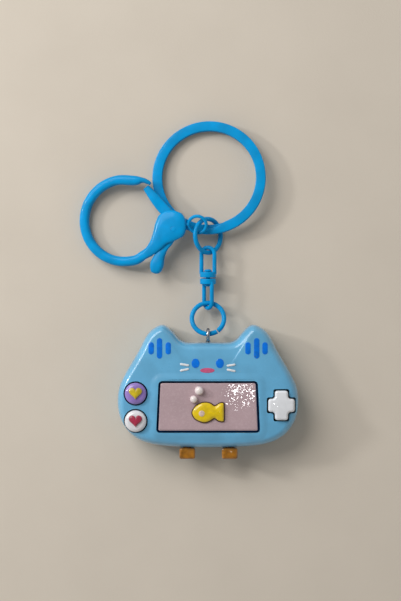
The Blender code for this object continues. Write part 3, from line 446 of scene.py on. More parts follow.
def finish(name):
    """Material of that name, made when it is first asked for."""
    mat = bpy.data.materials.get(f"{name}_finish")
    if mat:
        return mat
    if name in INNER_FINISHES:
        display, metallic = INNER_FINISHES[name]
        base = srgb(*display)
        roughness, coat, specular, share, mottles, grains, height = INNER_FINISH
    else:
        base = tuple(getattr(colours(), name))
        roughness, coat, specular, metallic, share, mottles, grains, height = FINISHES[name]
    mat = bpy.data.materials.new(f"{name}_finish")
    mat.use_nodes = True
    tree = mat.node_tree
    shader = tree.nodes["Principled BSDF"]
    shader.inputs["Metallic"].default_value = metallic
    shader.inputs["Coat Weight"].default_value = coat
    shader.inputs["Coat Roughness"].default_value = COAT_ROUGHNESS
    shader.inputs["Specular IOR Level"].default_value = specular
    where = new_node(tree, "TexCoord")
    tint = tuple(channel * (1 - share) ** 2 for channel in base)
    mottle = new_node(tree, "Group", {"node_tree": mottle_group()}, Colour=(*base, 1.0), Tint=(*tint, 1.0),
                      Scale=mottles)
    grain = new_node(tree, "Group", {"node_tree": grain_group()}, Scale=grains, Height=height)
    smooth, rough = (roughness * drift for drift in SHEEN_DRIFT)
    sheen = new_node(tree, "MapRange", To_Min=smooth, To_Max=rough)
    wired(tree, (where, "Object", mottle, "Vector"), (where, "Object", grain, "Vector"),
          (mottle, "Colour", shader, "Base Color"), (mottle, "Drift", sheen, "Value"),
          (sheen, "Result", shader, "Roughness"), (grain, "Normal", shader, "Normal"),
          (grain, "Normal", shader, "Coat Normal"))
    if name == "panel":
        add_flakes(tree, shader, where, mottle)
    # Painted sheen and shade on the pearls' rims
    if name == "pearl":
        add_painted_lustre(tree, shader, mottle)
    return mat


def add_flakes(tree, shader, where, mottle):
    """Pearl flakes under the panel's clear coat."""
    flakes = new_node(tree, "Group", {"node_tree": flake_group()}, Scale=FLAKES_PER_METRE, Tilt=FLAKE_TILT)
    mix = new_node(tree, "Mix", {"data_type": "RGBA"}, B=(*srgb(*FLAKE_COLOUR), 1.0))
    lift = new_node(tree, "MapRange", From_Min=0.55, To_Max=0.15)
    wired(tree, (where, "Object", flakes, "Vector"), (flakes, "Mask", lift, "Value"),
          (lift, "Result", mix, "Factor"), (mottle, "Colour", mix, "A"),
          (mix, "Result", shader, "Base Color"), (flakes, "Normal", shader, "Normal"),
          (flakes, "Normal", shader, "Coat Normal"))


def add_painted_lustre(tree, shader, mottle):
    """Painted sheen and shade: the pearl turns pinker and darker towards its rim, as seen from the camera."""
    rim = new_node(tree, "LayerWeight", Blend=0.35)
    mix = new_node(tree, "Mix", {"data_type": "RGBA"}, B=(*srgb(*PEARL_RIM_PAINTED_SHEEN), 1.0))
    wired(tree, (rim, "Facing", mix, "Factor"), (mottle, "Colour", mix, "A"),
          (mix, "Result", shader, "Base Color"))


def place(x, y, z, turn=None):
    """Placement in mm; turn is (angle, axis)."""
    matrix = Matrix.Translation((x, y, z))
    return matrix @ Matrix.Rotation(turn[0], 4, turn[1]) if turn else matrix


def moved(bm, matrix):
    bmesh.ops.transform(bm, matrix=matrix, verts=bm.verts)
    return bm


def spline(points, per_span, closed=False):
    """Catmull-Rom curve through points of any dimension."""
    rows = [Vector(point) for point in points]
    count = len(rows)
    samples = []
    for span in range(count if closed else count - 1):
        if closed:
            p0, p1, p2, p3 = (rows[(span + shift) % count] for shift in (-1, 0, 1, 2))
        else:
            p1, p2 = rows[span], rows[span + 1]
            p0 = rows[span - 1] if span > 0 else p1 * 2 - p2
            p3 = rows[span + 2] if span + 2 < count else p2 * 2 - p1
        for step in range(per_span):
            t = step / per_span
            samples.append(0.5 * (2 * p1 + (p2 - p0) * t + (2 * p0 - 5 * p1 + 4 * p2 - p3) * t * t
                                  + (3 * p1 - p0 - 3 * p2 + p3) * t ** 3))
    if not closed:
        samples.append(rows[-1])
    return samples


def flat_face(points, z, bm=None):
    """Face at height z, looking up."""
    bm = bm or bmesh.new()
    face = bm.faces.new([bm.verts.new((point[0], point[1], z)) for point in points])
    face.normal_update()
    if face.normal.z < 0:
        face.normal_flip()
    return bm, face


def rounded_face(corners, radius, z, segments=8):
    """Face with rounded corners."""
    bm, _ = flat_face(corners, z)
    bmesh.ops.bevel(bm, geom=bm.verts[:], offset=radius, offset_type="OFFSET", affect="VERTICES",
                    segments=segments, profile=0.5, material=-1, clamp_overlap=False)
    bm.faces.ensure_lookup_table()
    return bm, bm.faces[0]


def extruded(bm, face, rise):
    """Extrude one face along +Z; returns the new face.

    The face of a solid goes, and a lone one stays as its base.
    """
    inner = any(len(edge.link_faces) > 1 for edge in face.edges)
    made = bmesh.ops.extrude_face_region(bm, geom=[face])
    top = next(item for item in made["geom"] if isinstance(item, bmesh.types.BMFace))
    bmesh.ops.translate(bm, vec=(0.0, 0.0, rise), verts=top.verts)
    if inner:
        bmesh.ops.delete(bm, geom=[face], context="FACES_ONLY")
    return top


def offset_outline(points, inset):
    """Closed plane outline moved inwards along its mitres."""
    count = len(points)
    area = sum(points[k - 1].cross(points[k]) for k in range(count))
    side = copysign(1.0, area)
    shifted = []
    for k, here in enumerate(points):
        before = (here - points[k - 1]).normalized()
        after = (points[(k + 1) % count] - here).normalized()
        mitre = Vector((-before.y - after.y, before.x + after.x)) * side
        mitre = mitre.normalized()
        reach = max(0.5, mitre.dot(Vector((-after.y, after.x)) * side))
        shifted.append(here + mitre * inset / reach)
    return shifted


def drawn_in(bm, face, inset, rise):
    """Ring of faces round a face that is drawn in and raised along +Z; returns the face."""
    top = extruded(bm, face, rise)
    outline = offset_outline([vert.co.to_2d() for vert in top.verts], inset)
    for vert, point in zip(top.verts, outline):
        vert.co.xy = point
    return top


def stepped(bm, face, inset, rise, steps, curve):
    """Rounds drawn in and raised by the two shares that a curve gives; returns the face on top."""
    start = [vert.co.to_2d() for vert in face.verts]
    base = face.verts[0].co.z
    for step in range(1, steps + 1):
        inwards, upwards = curve(step / steps)
        face = extruded(bm, face, 0.0)
        for vert, point in zip(face.verts, offset_outline(start, inset * inwards)):
            vert.co = (*point, base + rise * upwards)
    return face


def rounded_over(bm, face, inset, rise, steps):
    """Rounded edge in even steps of angle; returns the face on top."""
    return stepped(bm, face, inset, rise, steps,
                   lambda share: (1 - cos(pi / 2 * share), sin(pi / 2 * share)))


def eased_up(bm, face, inset, rise, steps):
    """Slope that leaves the ground and reaches its top gently; returns the face on top."""
    return stepped(bm, face, inset, rise, steps, lambda share: (share, share * share * (3 - 2 * share)))


def skin_of(obj):
    return BVHTree.FromObject(obj, bpy.context.evaluated_depsgraph_get())


def laid_on(bm, skin, lift):
    """Lift every point of a piece drawn from height 0 onto a skin."""
    for vert in bm.verts:
        hit = skin.ray_cast(Vector((vert.co.x * MM, vert.co.y * MM, 0.02)), Vector((0.0, 0.0, -1.0)))[0]
        if hit is None:
            raise RuntimeError("a laid piece runs off its skin")
        vert.co.z += hit.z / MM + lift
    return bm


def puffed(bm, face, spine, rise, steps, power=2.0):
    """Pillow over a face: rounds drawn towards the nearest points of a spine, given by its two ends."""
    first, last = Vector(spine[0]), Vector(spine[1])
    along = last - first
    start = [vert.co.to_2d() for vert in face.verts]
    middles = []
    for point in start:
        share = (point - first).dot(along) / along.length_squared if along.length else 0.0
        middles.append(first + along * min(max(share, 0.0), 1.0))
    base = face.verts[0].co.z
    for step in range(1, steps + 1):
        angle = pi / 2 * step / (steps + 0.4)
        face = extruded(bm, face, 0.0)
        for vert, point, middle in zip(face.verts, start, middles):
            vert.co = (*middle.lerp(point, cos(angle) ** (2 / power)),
                       base + rise * sin(angle) ** (2 / power))


def prism(points, low, high):
    bm, face = flat_face(points, low)
    extruded(bm, face, high - low)
    return bm


def rounded_prism(corners, radius, low, high):
    bm, face = rounded_face(corners, radius, low)
    extruded(bm, face, high - low)
    return bm


def box_corners(x, y, half_x, half_y):
    signs = ((-1, -1), (1, -1), (1, 1), (-1, 1))
    return [(x + sign_x * half_x, y + sign_y * half_y) for sign_x, sign_y in signs]


def arc(x, y, half_x, half_y, first, last, steps):
    """Points of an elliptic arc from one angle to another, in degrees."""
    angles = [radians(first + (last - first) * step / steps) for step in range(steps + 1)]
    return [(x + half_x * cos(angle), y + half_y * sin(angle)) for angle in angles]


def turned(profile, steps=None, x=0.0, y=0.0):
    """Solid turned round a vertical axis; the profile runs from axis to axis."""
    bm = bmesh.new()
    rows = [(0.0, profile[0][1])] + list(profile) + [(0.0, profile[-1][1])]
    verts = [bm.verts.new((radius, 0.0, z)) for radius, z in rows]
    edges = [bm.edges.new(pair) for pair in zip(verts, verts[1:])]
    bmesh.ops.spin(bm, geom=verts + edges, cent=(0, 0, 0), axis=(0, 0, 1), angle=tau,
                   steps=steps or detail().round_steps, use_merge=True)
    bmesh.ops.remove_doubles(bm, verts=bm.verts, dist=1e-5)
    bmesh.ops.dissolve_degenerate(bm, edges=bm.edges, dist=1e-6)
    return moved(bm, Matrix.Translation((x, y, 0.0)))


def rod(radius, low, high, steps=None, x=0.0, y=0.0):
    return turned([(radius, low), (radius, high)], steps, x, y)


def wire_ring(radius, wire, split=0.0, first=0.0, steps=96, sides=18):
    """Ring of round wire in the XY plane, open where it is split."""
    bm = bmesh.new()
    bmesh.ops.create_circle(bm, cap_ends=False, radius=wire, segments=sides,
                            matrix=place(radius, 0.0, 0.0, (pi / 2, "X")))
    bmesh.ops.spin(bm, geom=bm.verts[:] + bm.edges[:], cent=(0, 0, 0), axis=(0, 0, 1), angle=tau - split,
                   steps=steps, use_merge=split == 0.0)
    bmesh.ops.remove_doubles(bm, verts=bm.verts, dist=1e-5)
    if split:
        bmesh.ops.holes_fill(bm, edges=bm.edges, sides=0)
    return moved(bm, Matrix.Rotation(first + split / 2, 4, "Z"))


def swept(rows, sides=20, power=2.0):
    """Solid swept along rows of (u, v, half width, half height)."""
    frames = []
    for index, (u, v, half_width, half_height) in enumerate(rows):
        before, after = rows[max(index - 1, 0)], rows[min(index + 1, len(rows) - 1)]
        along = Vector((after[0] - before[0], after[1] - before[1], 0.0)).normalized()
        across = Vector((along.y, -along.x, 0.0))
        columns = (across * half_width, Vector((0.0, 0.0, half_height)), along)
        frames.append(Matrix.Translation((u, v, 0.0)) @ Matrix(columns).transposed().to_4x4())
    bm = bmesh.new()
    bmesh.ops.create_circle(bm, cap_ends=True, radius=1.0, segments=sides)
    for vert in bm.verts:
        for axis in (0, 1):
            vert.co[axis] = copysign(abs(vert.co[axis]) ** (2.0 / power), vert.co[axis])
    bmesh.ops.transform(bm, matrix=frames[0], verts=bm.verts)
    bm.faces.ensure_lookup_table()
    face = bm.faces[0]
    for before, after in zip(frames, frames[1:]):
        face = extruded(bm, face, 0.0)
        bmesh.ops.transform(bm, matrix=after @ before.inverted(), verts=face.verts)
    return bm


def mesh_object(name, bm):
    """Object from a bmesh drawn in mm."""
    bmesh.ops.scale(bm, vec=(MM, MM, MM), verts=bm.verts)
    bmesh.ops.recalc_face_normals(bm, faces=bm.faces)
    mesh = bpy.data.meshes.new(name)
    bm.to_mesh(mesh)
    bm.free()
    obj = bpy.data.objects.new(name, mesh)
    bpy.context.scene.collection.objects.link(obj)
    return obj


def carved(obj, tools):
    """Apply Boolean tools, each (bmesh in mm, operation), in order."""
    helpers = []
    for index, (bm, operation) in enumerate(tools):
        helper = mesh_object(f"{obj.name}_tool_{index}", bm)
        helpers.append(helper)
        cut = obj.modifiers.new(helper.name, "BOOLEAN")
        cut.operation = operation
        cut.solver = "EXACT"
        cut.object = helper
    bpy.context.view_layer.update()
    rough = obj.data
    obj.data = bpy.data.meshes.new_from_object(obj.evaluated_get(bpy.context.evaluated_depsgraph_get()))
    obj.data.name = obj.name
    obj.modifiers.clear()
    bpy.data.meshes.remove(rough)
    for helper in helpers:
        mesh = helper.data
        bpy.data.objects.remove(helper)
        bpy.data.meshes.remove(mesh)
    return obj


def fitted(obj, look, body, slot, *nodes):
    """Give a piece its finish and its place in the frame."""
    if not obj.data.polygons:
        raise RuntimeError(f"{obj.name} came out empty")
    obj.data.materials.clear()
    obj.data.materials.append(finish(look))
    obj.data.shade_smooth()
    obj.data.set_sharp_from_angle(angle=SHARP_ANGLE)
    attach(obj, body)
    if nodes:
        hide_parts(*nodes)
    return obj


def piece(name, bm, look, body, slot, *nodes, tools=()):
    """Piece drawn in mm, carved, finished and given its place in the frame."""
    obj = mesh_object(name, bm)
    if tools:
        carved(obj, tools)
    return fitted(obj, look, body, slot, *nodes)


def enamelled(name, bm, body, node, *tools):
    """Piece of blue enamelled metal in the place of a CAD node."""
    return piece(name, bm, "blue_metal", body, "blue_metal", node, tools=tools)


def even_steps(points, count):
    """Closed outline resampled at equal distances."""
    ends = points[1:] + points[:1]
    lengths = [(after - here).length for here, after in zip(points, ends)]
    pace = sum(lengths) / count
    samples, walked, wanted = [], 0.0, 0.0
    for here, after, length in zip(points, ends, lengths):
        while wanted < walked + length and len(samples) < count:
            samples.append(here.lerp(after, (wanted - walked) / length))
            wanted += pace
        walked += length
    return samples


def case_outline():
    left = [(-x, y) for x, y in reversed(OUTLINE_HALF[1:-1])]
    return even_steps(spline(OUTLINE_HALF + left, 8, closed=True), detail().outline_steps)


def window_corners(margin):
    """Corners of the screen window, grown by a margin."""
    return [(x + copysign(margin, x), y + copysign(margin, y)) for x, y in WINDOW]


def cross_corners(margin):
    x, y = CROSS_CENTRE
    arm = CROSS_ARM + margin
    reach_x, reach_y = (half + margin for half in CROSS_HALF)
    quarter = [(reach_x, -arm), (reach_x, arm), (arm, arm)]
    top = [(arm, reach_y), (-arm, reach_y), (-arm, arm)]
    half = quarter + top
    return [(x + dx, y + dy) for dx, dy in half] + [(x - dx, y - dy) for dx, dy in half]


def peg(x, y, half_x, half_y, half_z):
    """Peg of a foot, or the hole that it sits in."""
    return rounded_prism(box_corners(x, y, half_x, half_y), 0.2, FOOT_Z - half_z, FOOT_Z + half_z)


def domed(bm, face, base_z, shares):
    """Crown of the face: rounds drawn in towards the middle, turning towards a circle."""
    offsets = [vert.co.to_2d() - DOME_CENTRE for vert in face.verts]
    reaches = [offset.length for offset in offsets]
    for share in shares:
        for _ in range(DOME_SMOOTHING):
            reaches = [(reaches[k - 1] + 2 * reaches[k] + reaches[(k + 1) % len(reaches)]) / 4
                       for k in range(len(reaches))]
        face = extruded(bm, face, 0.0)
        for vert, offset, reach in zip(face.verts, offsets, reaches):
            drawn = share * (share * reach + (1 - share) * DOME_RADIUS)
            point = DOME_CENTRE + offset.normalized() * drawn
            vert.co = (point.x, point.y, base_z + DOME_RISE * (1 - share * share))


def case_front():
    steps = detail().edge_steps
    edge_top = CASE_DEPTH - DOME_RISE
    low = PARTING_Z + PARTING_GAP
    outline = case_outline()
    bm, face = flat_face(offset_outline(outline, PARTING_EDGE), low)
    face = drawn_in(bm, face, -PARTING_EDGE, PARTING_EDGE)
    face = extruded(bm, face, edge_top - EDGE_DROP - low - PARTING_EDGE)
    face = rounded_over(bm, face, EDGE_INSET, EDGE_DROP, steps)
    domed(bm, face, edge_top, DOME_SHARES)
    shell = mesh_object("case_front", bm)
    ceiling = CASE_DEPTH - FRONT_WALL
    floor = PARTING_Z - 1.0
    hollow, face = flat_face(offset_outline(outline, SIDE_WALL), floor)
    face = extruded(hollow, face, ceiling - HOLLOW_DROP - floor)
    rounded_over(hollow, face, 0.6, HOLLOW_DROP, 4)
    lip, _ = rounded_face(window_corners(LIP_WIDTH), WINDOW_CORNER + LIP_WIDTH, -LIP_ROOT)
    sides = [edge for edge in lip.edges if edge.calc_length() > 3.0]
    bmesh.ops.subdivide_edges(lip, edges=sides, cuts=LIP_CUTS)
    lip.faces.ensure_lookup_table()
    face = extruded(lip, lip.faces[0], LIP_ROOT)
    eased_up(lip, face, LIP_SLOPE, LIP_HEIGHT, steps)
    above = CASE_DEPTH + 2.0
    tools = [(hollow, CUT), (laid_on(lip, skin_of(shell), -LIP_SINK), JOIN),
             (rounded_prism(window_corners(0.0), WINDOW_CORNER, ceiling - 0.8, above), CUT)]
    for x, y in BUTTONS.values():
        tools.append((rod(SOCKET_RADIUS, SOCKET_LOW, above, x=x, y=y), CUT))
    tools.append((rounded_prism(cross_corners(CROSS_ROOM), 0.55, SOCKET_LOW, above), CUT))
    for x in FEET.values():
        tools.append((peg(x, *MORTISE), CUT))
    eye_x, _, eye_z = EYE_CENTRE
    tools.append((moved(rod(EYE_BORE, 0.0, 6.0), place(eye_x, 9.0, eye_z, (-pi / 2, "X"))), CUT))
    return fitted(carved(shell, tools), "case", "console", "case", "front_shell")


def case_back():
    outline = case_outline()
    rim = SIDE_WALL + GAP
    bm, face = flat_face(offset_outline(outline, rim), PARTING_Z + RIM_HEIGHT)
    face = extruded(bm, face, -RIM_HEIGHT)
    face = drawn_in(bm, face, -rim, 0.0)
    face = extruded(bm, face, REAR_EDGE - PARTING_Z)
    rounded_over(bm, face, REAR_EDGE, -REAR_EDGE, detail().edge_steps)
    above = PARTING_Z + 3.0
    tools = [(prism(offset_outline(outline, rim + 0.35), REAR_FLOOR, above), CUT),
             (rounded_prism(box_corners(0.0, 12.0, 1.7, 3.0), 0.2, PARTING_Z - 0.05, above), CUT),
             (rounded_prism(DOOR, DOOR_CORNER, -1.0, DOOR_DEPTH), CUT),
             (rod(CELL_RADIUS, -0.5, 3.0, None, *CELL_CENTRE), CUT)]
    for name, (x, y) in SCREWS.items():
        if name != "door_screw":
            recess = [(1.75, -1.0), (1.75, 1.3), (0.95, 1.3), (0.95, PARTING_Z + 1.0)]
            boss = rod(1.9, REAR_FLOOR - 0.5, PARTING_Z, None, x, y)
            tools += [(boss, JOIN), (turned(recess, None, x, y), CUT)]
    for x, y in [BUZZER_CENTRE] + arc(*BUZZER_CENTRE, SOUND_CIRCLE, SOUND_CIRCLE, 60.0, 360.0, 5):
        tools.append((rod(SOUND_HOLE, -1.0, REAR_FLOOR + 1.0, 20, x, y), CUT))
    return piece("case_back", bm, "case", "console", "case", "rear_shell", tools=tools)


class KEYCHAIN_OT_case(Operator):
    """Front and back shells of the console"""
    bl_idname = "keychain.case"
    bl_label = "Build the case"

    def execute(self, context):
        case_front()
        case_back()
        return {"FINISHED"}


class KEYCHAIN_OT_screws(Operator):
    """Cross-slotted screws in the back"""
    bl_idname = "keychain.screws"
    bl_label = "Build the screws"

    def execute(self, context):
        for name, (x, y) in SCREWS.items():
            low, depth, reach = (0.15, 0.5, 2.7) if name == "door_screw" else (0.3, 0.8, 8.2)
            head = low + depth
            profile = [(0.7, low), (1.2, low + 0.06), (1.5, low + 0.25), (1.5, head), (0.7, head),
                       (0.7, reach), (0.35, reach + 0.4)]
            slots = [(rounded_prism(box_corners(x, y, *half), 0.05, low - 1.0, low + 0.35), CUT)
                     for half in ((0.8, 0.16), (0.16, 0.8))]
            screw = turned(profile, 32, x, y)
            piece(f"{name}_slotted", screw, "steel", "console", "steel", name, tools=slots)
        return {"FINISHED"}


def pill(x, y, half_x, half_y, count=28):
    """Outline of a stripe with round ends."""
    radius = min(half_x, half_y)
    points = []
    for step in range(count):
        angle = tau * (step + 0.5) / count
        cosine, sine = cos(angle), sin(angle)
        points.append((x + radius * cosine + copysign(half_x - radius, cosine),
                       y + radius * sine + copysign(half_y - radius, sine)))
    return points


def strip(start, end, half_width):
    """Outline of a slanting whisker."""
    middle = (Vector(start) + Vector(end)) / 2
    along = Vector(end) - Vector(start)
    flat = pill(0.0, 0.0, along.length / 2, half_width)
    turn = Matrix.Rotation(atan2(along.y, along.x), 2)
    return [middle + turn @ Vector(point) for point in flat]


def printed(name, outlines, height, look):
    """Painted shapes laid on the case's face as one thin raised piece."""
    bm = bmesh.new()
    lift = height / MM
    for outline in outlines:
        _, face = flat_face(outline, 0.0, bm)
        face = extruded(bm, face, lift * 0.5)
        for share in (0.3, 0.2):
            face = drawn_in(bm, face, PRINT_EDGE, lift * share)
    laid_on(bm, skin_of(bpy.data.objects["case_front"]), 0.008)
    return piece(name, bm, look, "console", "case")


class KEYCHAIN_OT_face_prints(Operator):
    """Eyes, mouth, whiskers and ear stripes painted on the case"""
    bl_idname = "keychain.face_prints"
    bl_label = "Print the face"

    def execute(self, context):
        height = detail().print_height
        stripes = [pill(side * x, STRIPE_Y, STRIPE_HALF, half) for side in (-1, 1) for x, half in STRIPES]
        printed("ear_stripes", stripes, height, "print_blue")
        printed("eyes", [arc(*eye, 0.0, 350.0, 35) for eye in EYES], height, "print_blue")
        printed("mouth", [arc(*MOUTH, 0.0, 350.0, 35)], height, "print_pink")
        whiskers = [strip(*ends, WHISKER_HALF) for ends in WHISKERS]
        printed("whiskers", whiskers, detail().whisker_height, "print_white")
        return {"FINISHED"}


class KEYCHAIN_OT_screen(Operator):
    """Pearly panel with the puffy fish and the half pearls"""
    bl_idname = "keychain.screen"
    bl_label = "Build the screen"

    def execute(self, context):
        flange = CASE_DEPTH - FRONT_WALL - GAP
        bm, face = rounded_face(window_corners(FLANGE), WINDOW_CORNER + FLANGE, flange - 0.8)
        face = extruded(bm, face, 0.8)
        face = drawn_in(bm, face, FLANGE + PANEL_GAP, 0.0)
        face = extruded(bm, face, PANEL_TOP_Z - PANEL_EDGE - flange)
        face = rounded_over(bm, face, 0.3, PANEL_EDGE, 5)
        drawn_in(bm, face, 0.1, 0.0)
        panel = piece("panel_pearly", bm, "panel", "console", "panel", "screen_panel")
        # Painted shade: the panel's sides and flange below its rounded top edge take the navy gap colour,
        # standing for the shadow in the gap
        panel.data.materials.append(finish("gap"))
        for polygon in panel.data.polygons:
            if polygon.center.z < (PANEL_TOP_Z - PANEL_EDGE) * MM:
                polygon.material_index = 1
        outline = even_steps(spline(FISH, 6, closed=True), 84)
        bm, face = flat_face(outline, TRIM_Z)
        face = extruded(bm, face, 0.12)
        rounded_over(bm, face, 0.1, 0.1, 3)
        piece("fish_rim", bm, "fish_rim", "console", "fish")
        bm, face = flat_face(offset_outline(outline, FISH_RIM), TRIM_Z + 0.24)
        face = extruded(bm, face, 0.05)
        puffed(bm, face, FISH_SPINE, FISH_RISE, detail().edge_steps)
        piece("fish_puffy", bm, "fish", "console", "fish", "fish_relief")
        piece("fish_eye", turned(FISH_EYE_PROFILE, 32, *FISH_EYE), "fish_eye", "console", "fish")
        for name, (x, y, radius) in PEARLS.items():
            profile = arc(0.0, TRIM_Z + 0.6 * radius, 0.999 * radius, 0.97 * radius, -38.0, 90.0, 13)
            profile[-1] = (0.02, profile[-1][1])
            piece(f"{name}_round", turned(profile, 40, x, y), "pearl", "console", "pearl", name)
        return {"FINISHED"}


def heart_outline(x, y, width):
    scale = width / 32.0
    points = []
    for step in range(64):
        t = tau * (step + 0.5) / 64
        across = 16 * sin(t) ** 3
        up = 13 * cos(t) - 5 * cos(2 * t) - 2 * cos(3 * t) - cos(4 * t) + 2.5
        points.append((x + across * scale, y + up * scale))
    return points


class KEYCHAIN_OT_buttons(Operator):
    """Domed push buttons with their raised hearts"""
    bl_idname = "keychain.buttons"
    bl_label = "Build the buttons"

    def execute(self, context):
        looks = {"upper": ("button_purple", "heart_yellow"), "lower": ("button_white", "heart_red")}
        for key, (x, y) in BUTTONS.items():
            cap_look, heart_look = looks[key]
            profile = [(2.0, 7.9), (2.0, 8.5), (BUTTON_RADIUS, 8.5)]
            profile += arc(BUTTON_RADIUS - BUTTON_EDGE[0], BUTTON_TOP_Z - 1.0, *BUTTON_EDGE, 0.0, 90.0, 10)
            profile += [(0.8, BUTTON_TOP_Z - 0.02), (0.02, BUTTON_TOP_Z)]
            cap = turned(profile, x=x, y=y)
            piece(f"button_{key}_domed", cap, cap_look, f"{key}_button", cap_look, f"button_{key}")
            bm, face = flat_face(heart_outline(x, y, HEART_WIDTH), BUTTON_TOP_Z + 0.1)
            face = extruded(bm, face, 0.08)
            puffed(bm, face, [(x, y + 0.15), (x, y + 0.15)], HEART_RISE, 8)
            piece(f"heart_{key}_puffy", bm, heart_look, f"{key}_button", heart_look, f"heart_{key}")
        return {"FINISHED"}


class KEYCHAIN_OT_cross(Operator):
    """Soft white direction cross"""
    bl_idname = "keychain.cross"
    bl_label = "Build the direction cross"

    def execute(self, context):
        bm, face = rounded_face(cross_corners(0.0), CROSS_CORNER, CROSS_LOW)
        face = extruded(bm, face, CROSS_WALL)
        rounded_over(bm, face, *CROSS_EDGE, detail().edge_steps)
        piece("cross_soft", bm, "cross", "cross", "cross", "dpad_cross")
        return {"FINISHED"}


class KEYCHAIN_OT_feet(Operator):
    """Amber feet with their tenons"""
    bl_idname = "keychain.feet"
    bl_label = "Build the feet"

    def execute(self, context):
        for side, x in FEET.items():
            bm = bmesh.new()
            bmesh.ops.create_cube(bm, size=1.0)
            bmesh.ops.scale(bm, vec=(2 * FOOT_HALF, FOOT_LENGTH, 2 * FOOT_HALF), verts=bm.verts)
            bmesh.ops.bevel(bm, geom=bm.edges[:], offset=FOOT_EDGE, offset_type="OFFSET", affect="EDGES",
                            segments=5, profile=0.5, material=-1)
            moved(bm, place(x, FOOT_Y, FOOT_Z))
            piece(f"foot_{side}_glossy", bm, "amber", "console", "amber", f"foot_{side}",
                  tools=[(peg(x, *TENON), JOIN)])
        return {"FINISHED"}


def lower_ring_point(reach):
    """Point of the lower jump ring's plane, reach mm from the wire held by the screw eye."""
    return Vector((0.0, LOWER_RING_START_Y + reach * cos(LOWER_RING_TILT),
                   EYE_CENTRE[2] - reach * sin(LOWER_RING_TILT)))


def link_matrix(origin, direction, across, roll):
    """Link frame: u along the swivel, v between the two bars."""
    along = direction.normalized()
    normal = along.cross(across).normalized()
    basis = Matrix((along, normal.cross(along), normal)).transposed().to_4x4()
    return Matrix.Translation(origin) @ basis @ Matrix.Rotation(roll, 4, "X")


def swivel_link(key, matrix, meeting):
    """U-shaped wire stirrup closed by a round collar with the rivet hole."""
    collar_start = meeting - COLLAR_GAP / 2 - COLLAR_HEIGHT
    rows = [(collar_start + 0.6, -LINK_HALF), (collar_start / 2, -LINK_HALF)]
    rows += arc(LINK_HALF - LINK_REACH, 0.0, LINK_HALF, -LINK_HALF, 90.0, 270.0, 24)
    rows += [(collar_start / 2, LINK_HALF), (collar_start + 0.6, LINK_HALF)]
    stirrup = moved(swept([(*row, LINK_WIRE, LINK_WIRE) for row in rows], 18), matrix)
    edge = (COLLAR_EDGE, COLLAR_EDGE)
    profile = arc(COLLAR_RADIUS - COLLAR_EDGE, COLLAR_EDGE, *edge, -90.0, 0.0, 4)
    profile += arc(COLLAR_RADIUS - COLLAR_EDGE, COLLAR_HEIGHT - COLLAR_EDGE, *edge, 0.0, 90.0, 4)
    collar = moved(turned(profile, 48), matrix @ place(collar_start, 0, 0, ALONG_U))
    hole = rod(RIVET_RADIUS + 0.2, 0.0, COLLAR_HEIGHT + 1.0, 32)
    moved(hole, matrix @ place(collar_start - 0.5, 0, 0, ALONG_U))
    enamelled(f"swivel_{key}_stirrup", stirrup, f"swivel_{key}", f"swivel_{key}_link",
              (collar, JOIN), (hole, CUT))


class KEYCHAIN_OT_chain(Operator):
    """Screw eye, jump rings and the two-link swivel"""
    bl_idname = "keychain.chain"
    bl_label = "Build the chain"

    def execute(self, context):
        x, y, z = EYE_CENTRE
        eye = moved(wire_ring(EYE_RADIUS, EYE_WIRE), place(x, y, z, (pi / 2, "Y")))
        shank = moved(turned([(0.25, 0.0), (0.6, 0.7), (0.6, 4.6)], 32), place(x, 9.8, z, (-pi / 2, "X")))
        piece("screw_eye_round", eye, "steel", "console", "steel", "screw_eye", tools=[(shank, JOIN)])
        _, mid_y, mid_z = lower_ring_point(LOWER_RING_RADIUS)
        ring = wire_ring(LOWER_RING_RADIUS, RING_WIRE, RING_SPLIT, LOWER_RING_OPENING)
        moved(ring, place(0, mid_y, mid_z, (-LOWER_RING_TILT, "X")))
        enamelled("jump_ring_lower", ring, "lower_ring", "lower_jump_ring")
        ring = wire_ring(UPPER_RING_RADIUS, RING_WIRE, RING_SPLIT, UPPER_RING_OPENING)
        moved(ring, place(*UPPER_RING_CENTRE, (UPPER_RING_TILT, "Y")))
        enamelled("jump_ring_upper", ring, "upper_ring", "upper_jump_ring")
        start = lower_ring_point(2 * LOWER_RING_RADIUS)
        end = Vector(UPPER_RING_CENTRE) - Vector((0.0, UPPER_RING_RADIUS, 0.0))
        length = (end - start).length
        lower = link_matrix(start, end - start, Vector((-1.0, 0.0, 0.0)), LINK_ROLLS["lower"])
        upper = link_matrix(end, start - end, Vector((1.0, 0.0, 0.0)), LINK_ROLLS["upper"])
        swivel_link("lower", lower, length / 2)
        swivel_link("upper", upper, length / 2)
        half = COLLAR_GAP / 2 + COLLAR_HEIGHT + 0.1
        head = [(RIVET_HEAD - 0.55, half + 0.55), (RIVET_HEAD - 0.2, half + 0.45), (RIVET_HEAD, half + 0.25),
                (RIVET_HEAD, half), (RIVET_RADIUS, half)]
        profile = [(radius, -height) for radius, height in head] + list(reversed(head))
        rivet = moved(turned(profile, 32), lower @ place(length / 2, 0, 0, ALONG_U))
        enamelled("swivel_rivet_headed", rivet, "swivel_lower", "swivel_rivet")
        return {"FINISHED"}


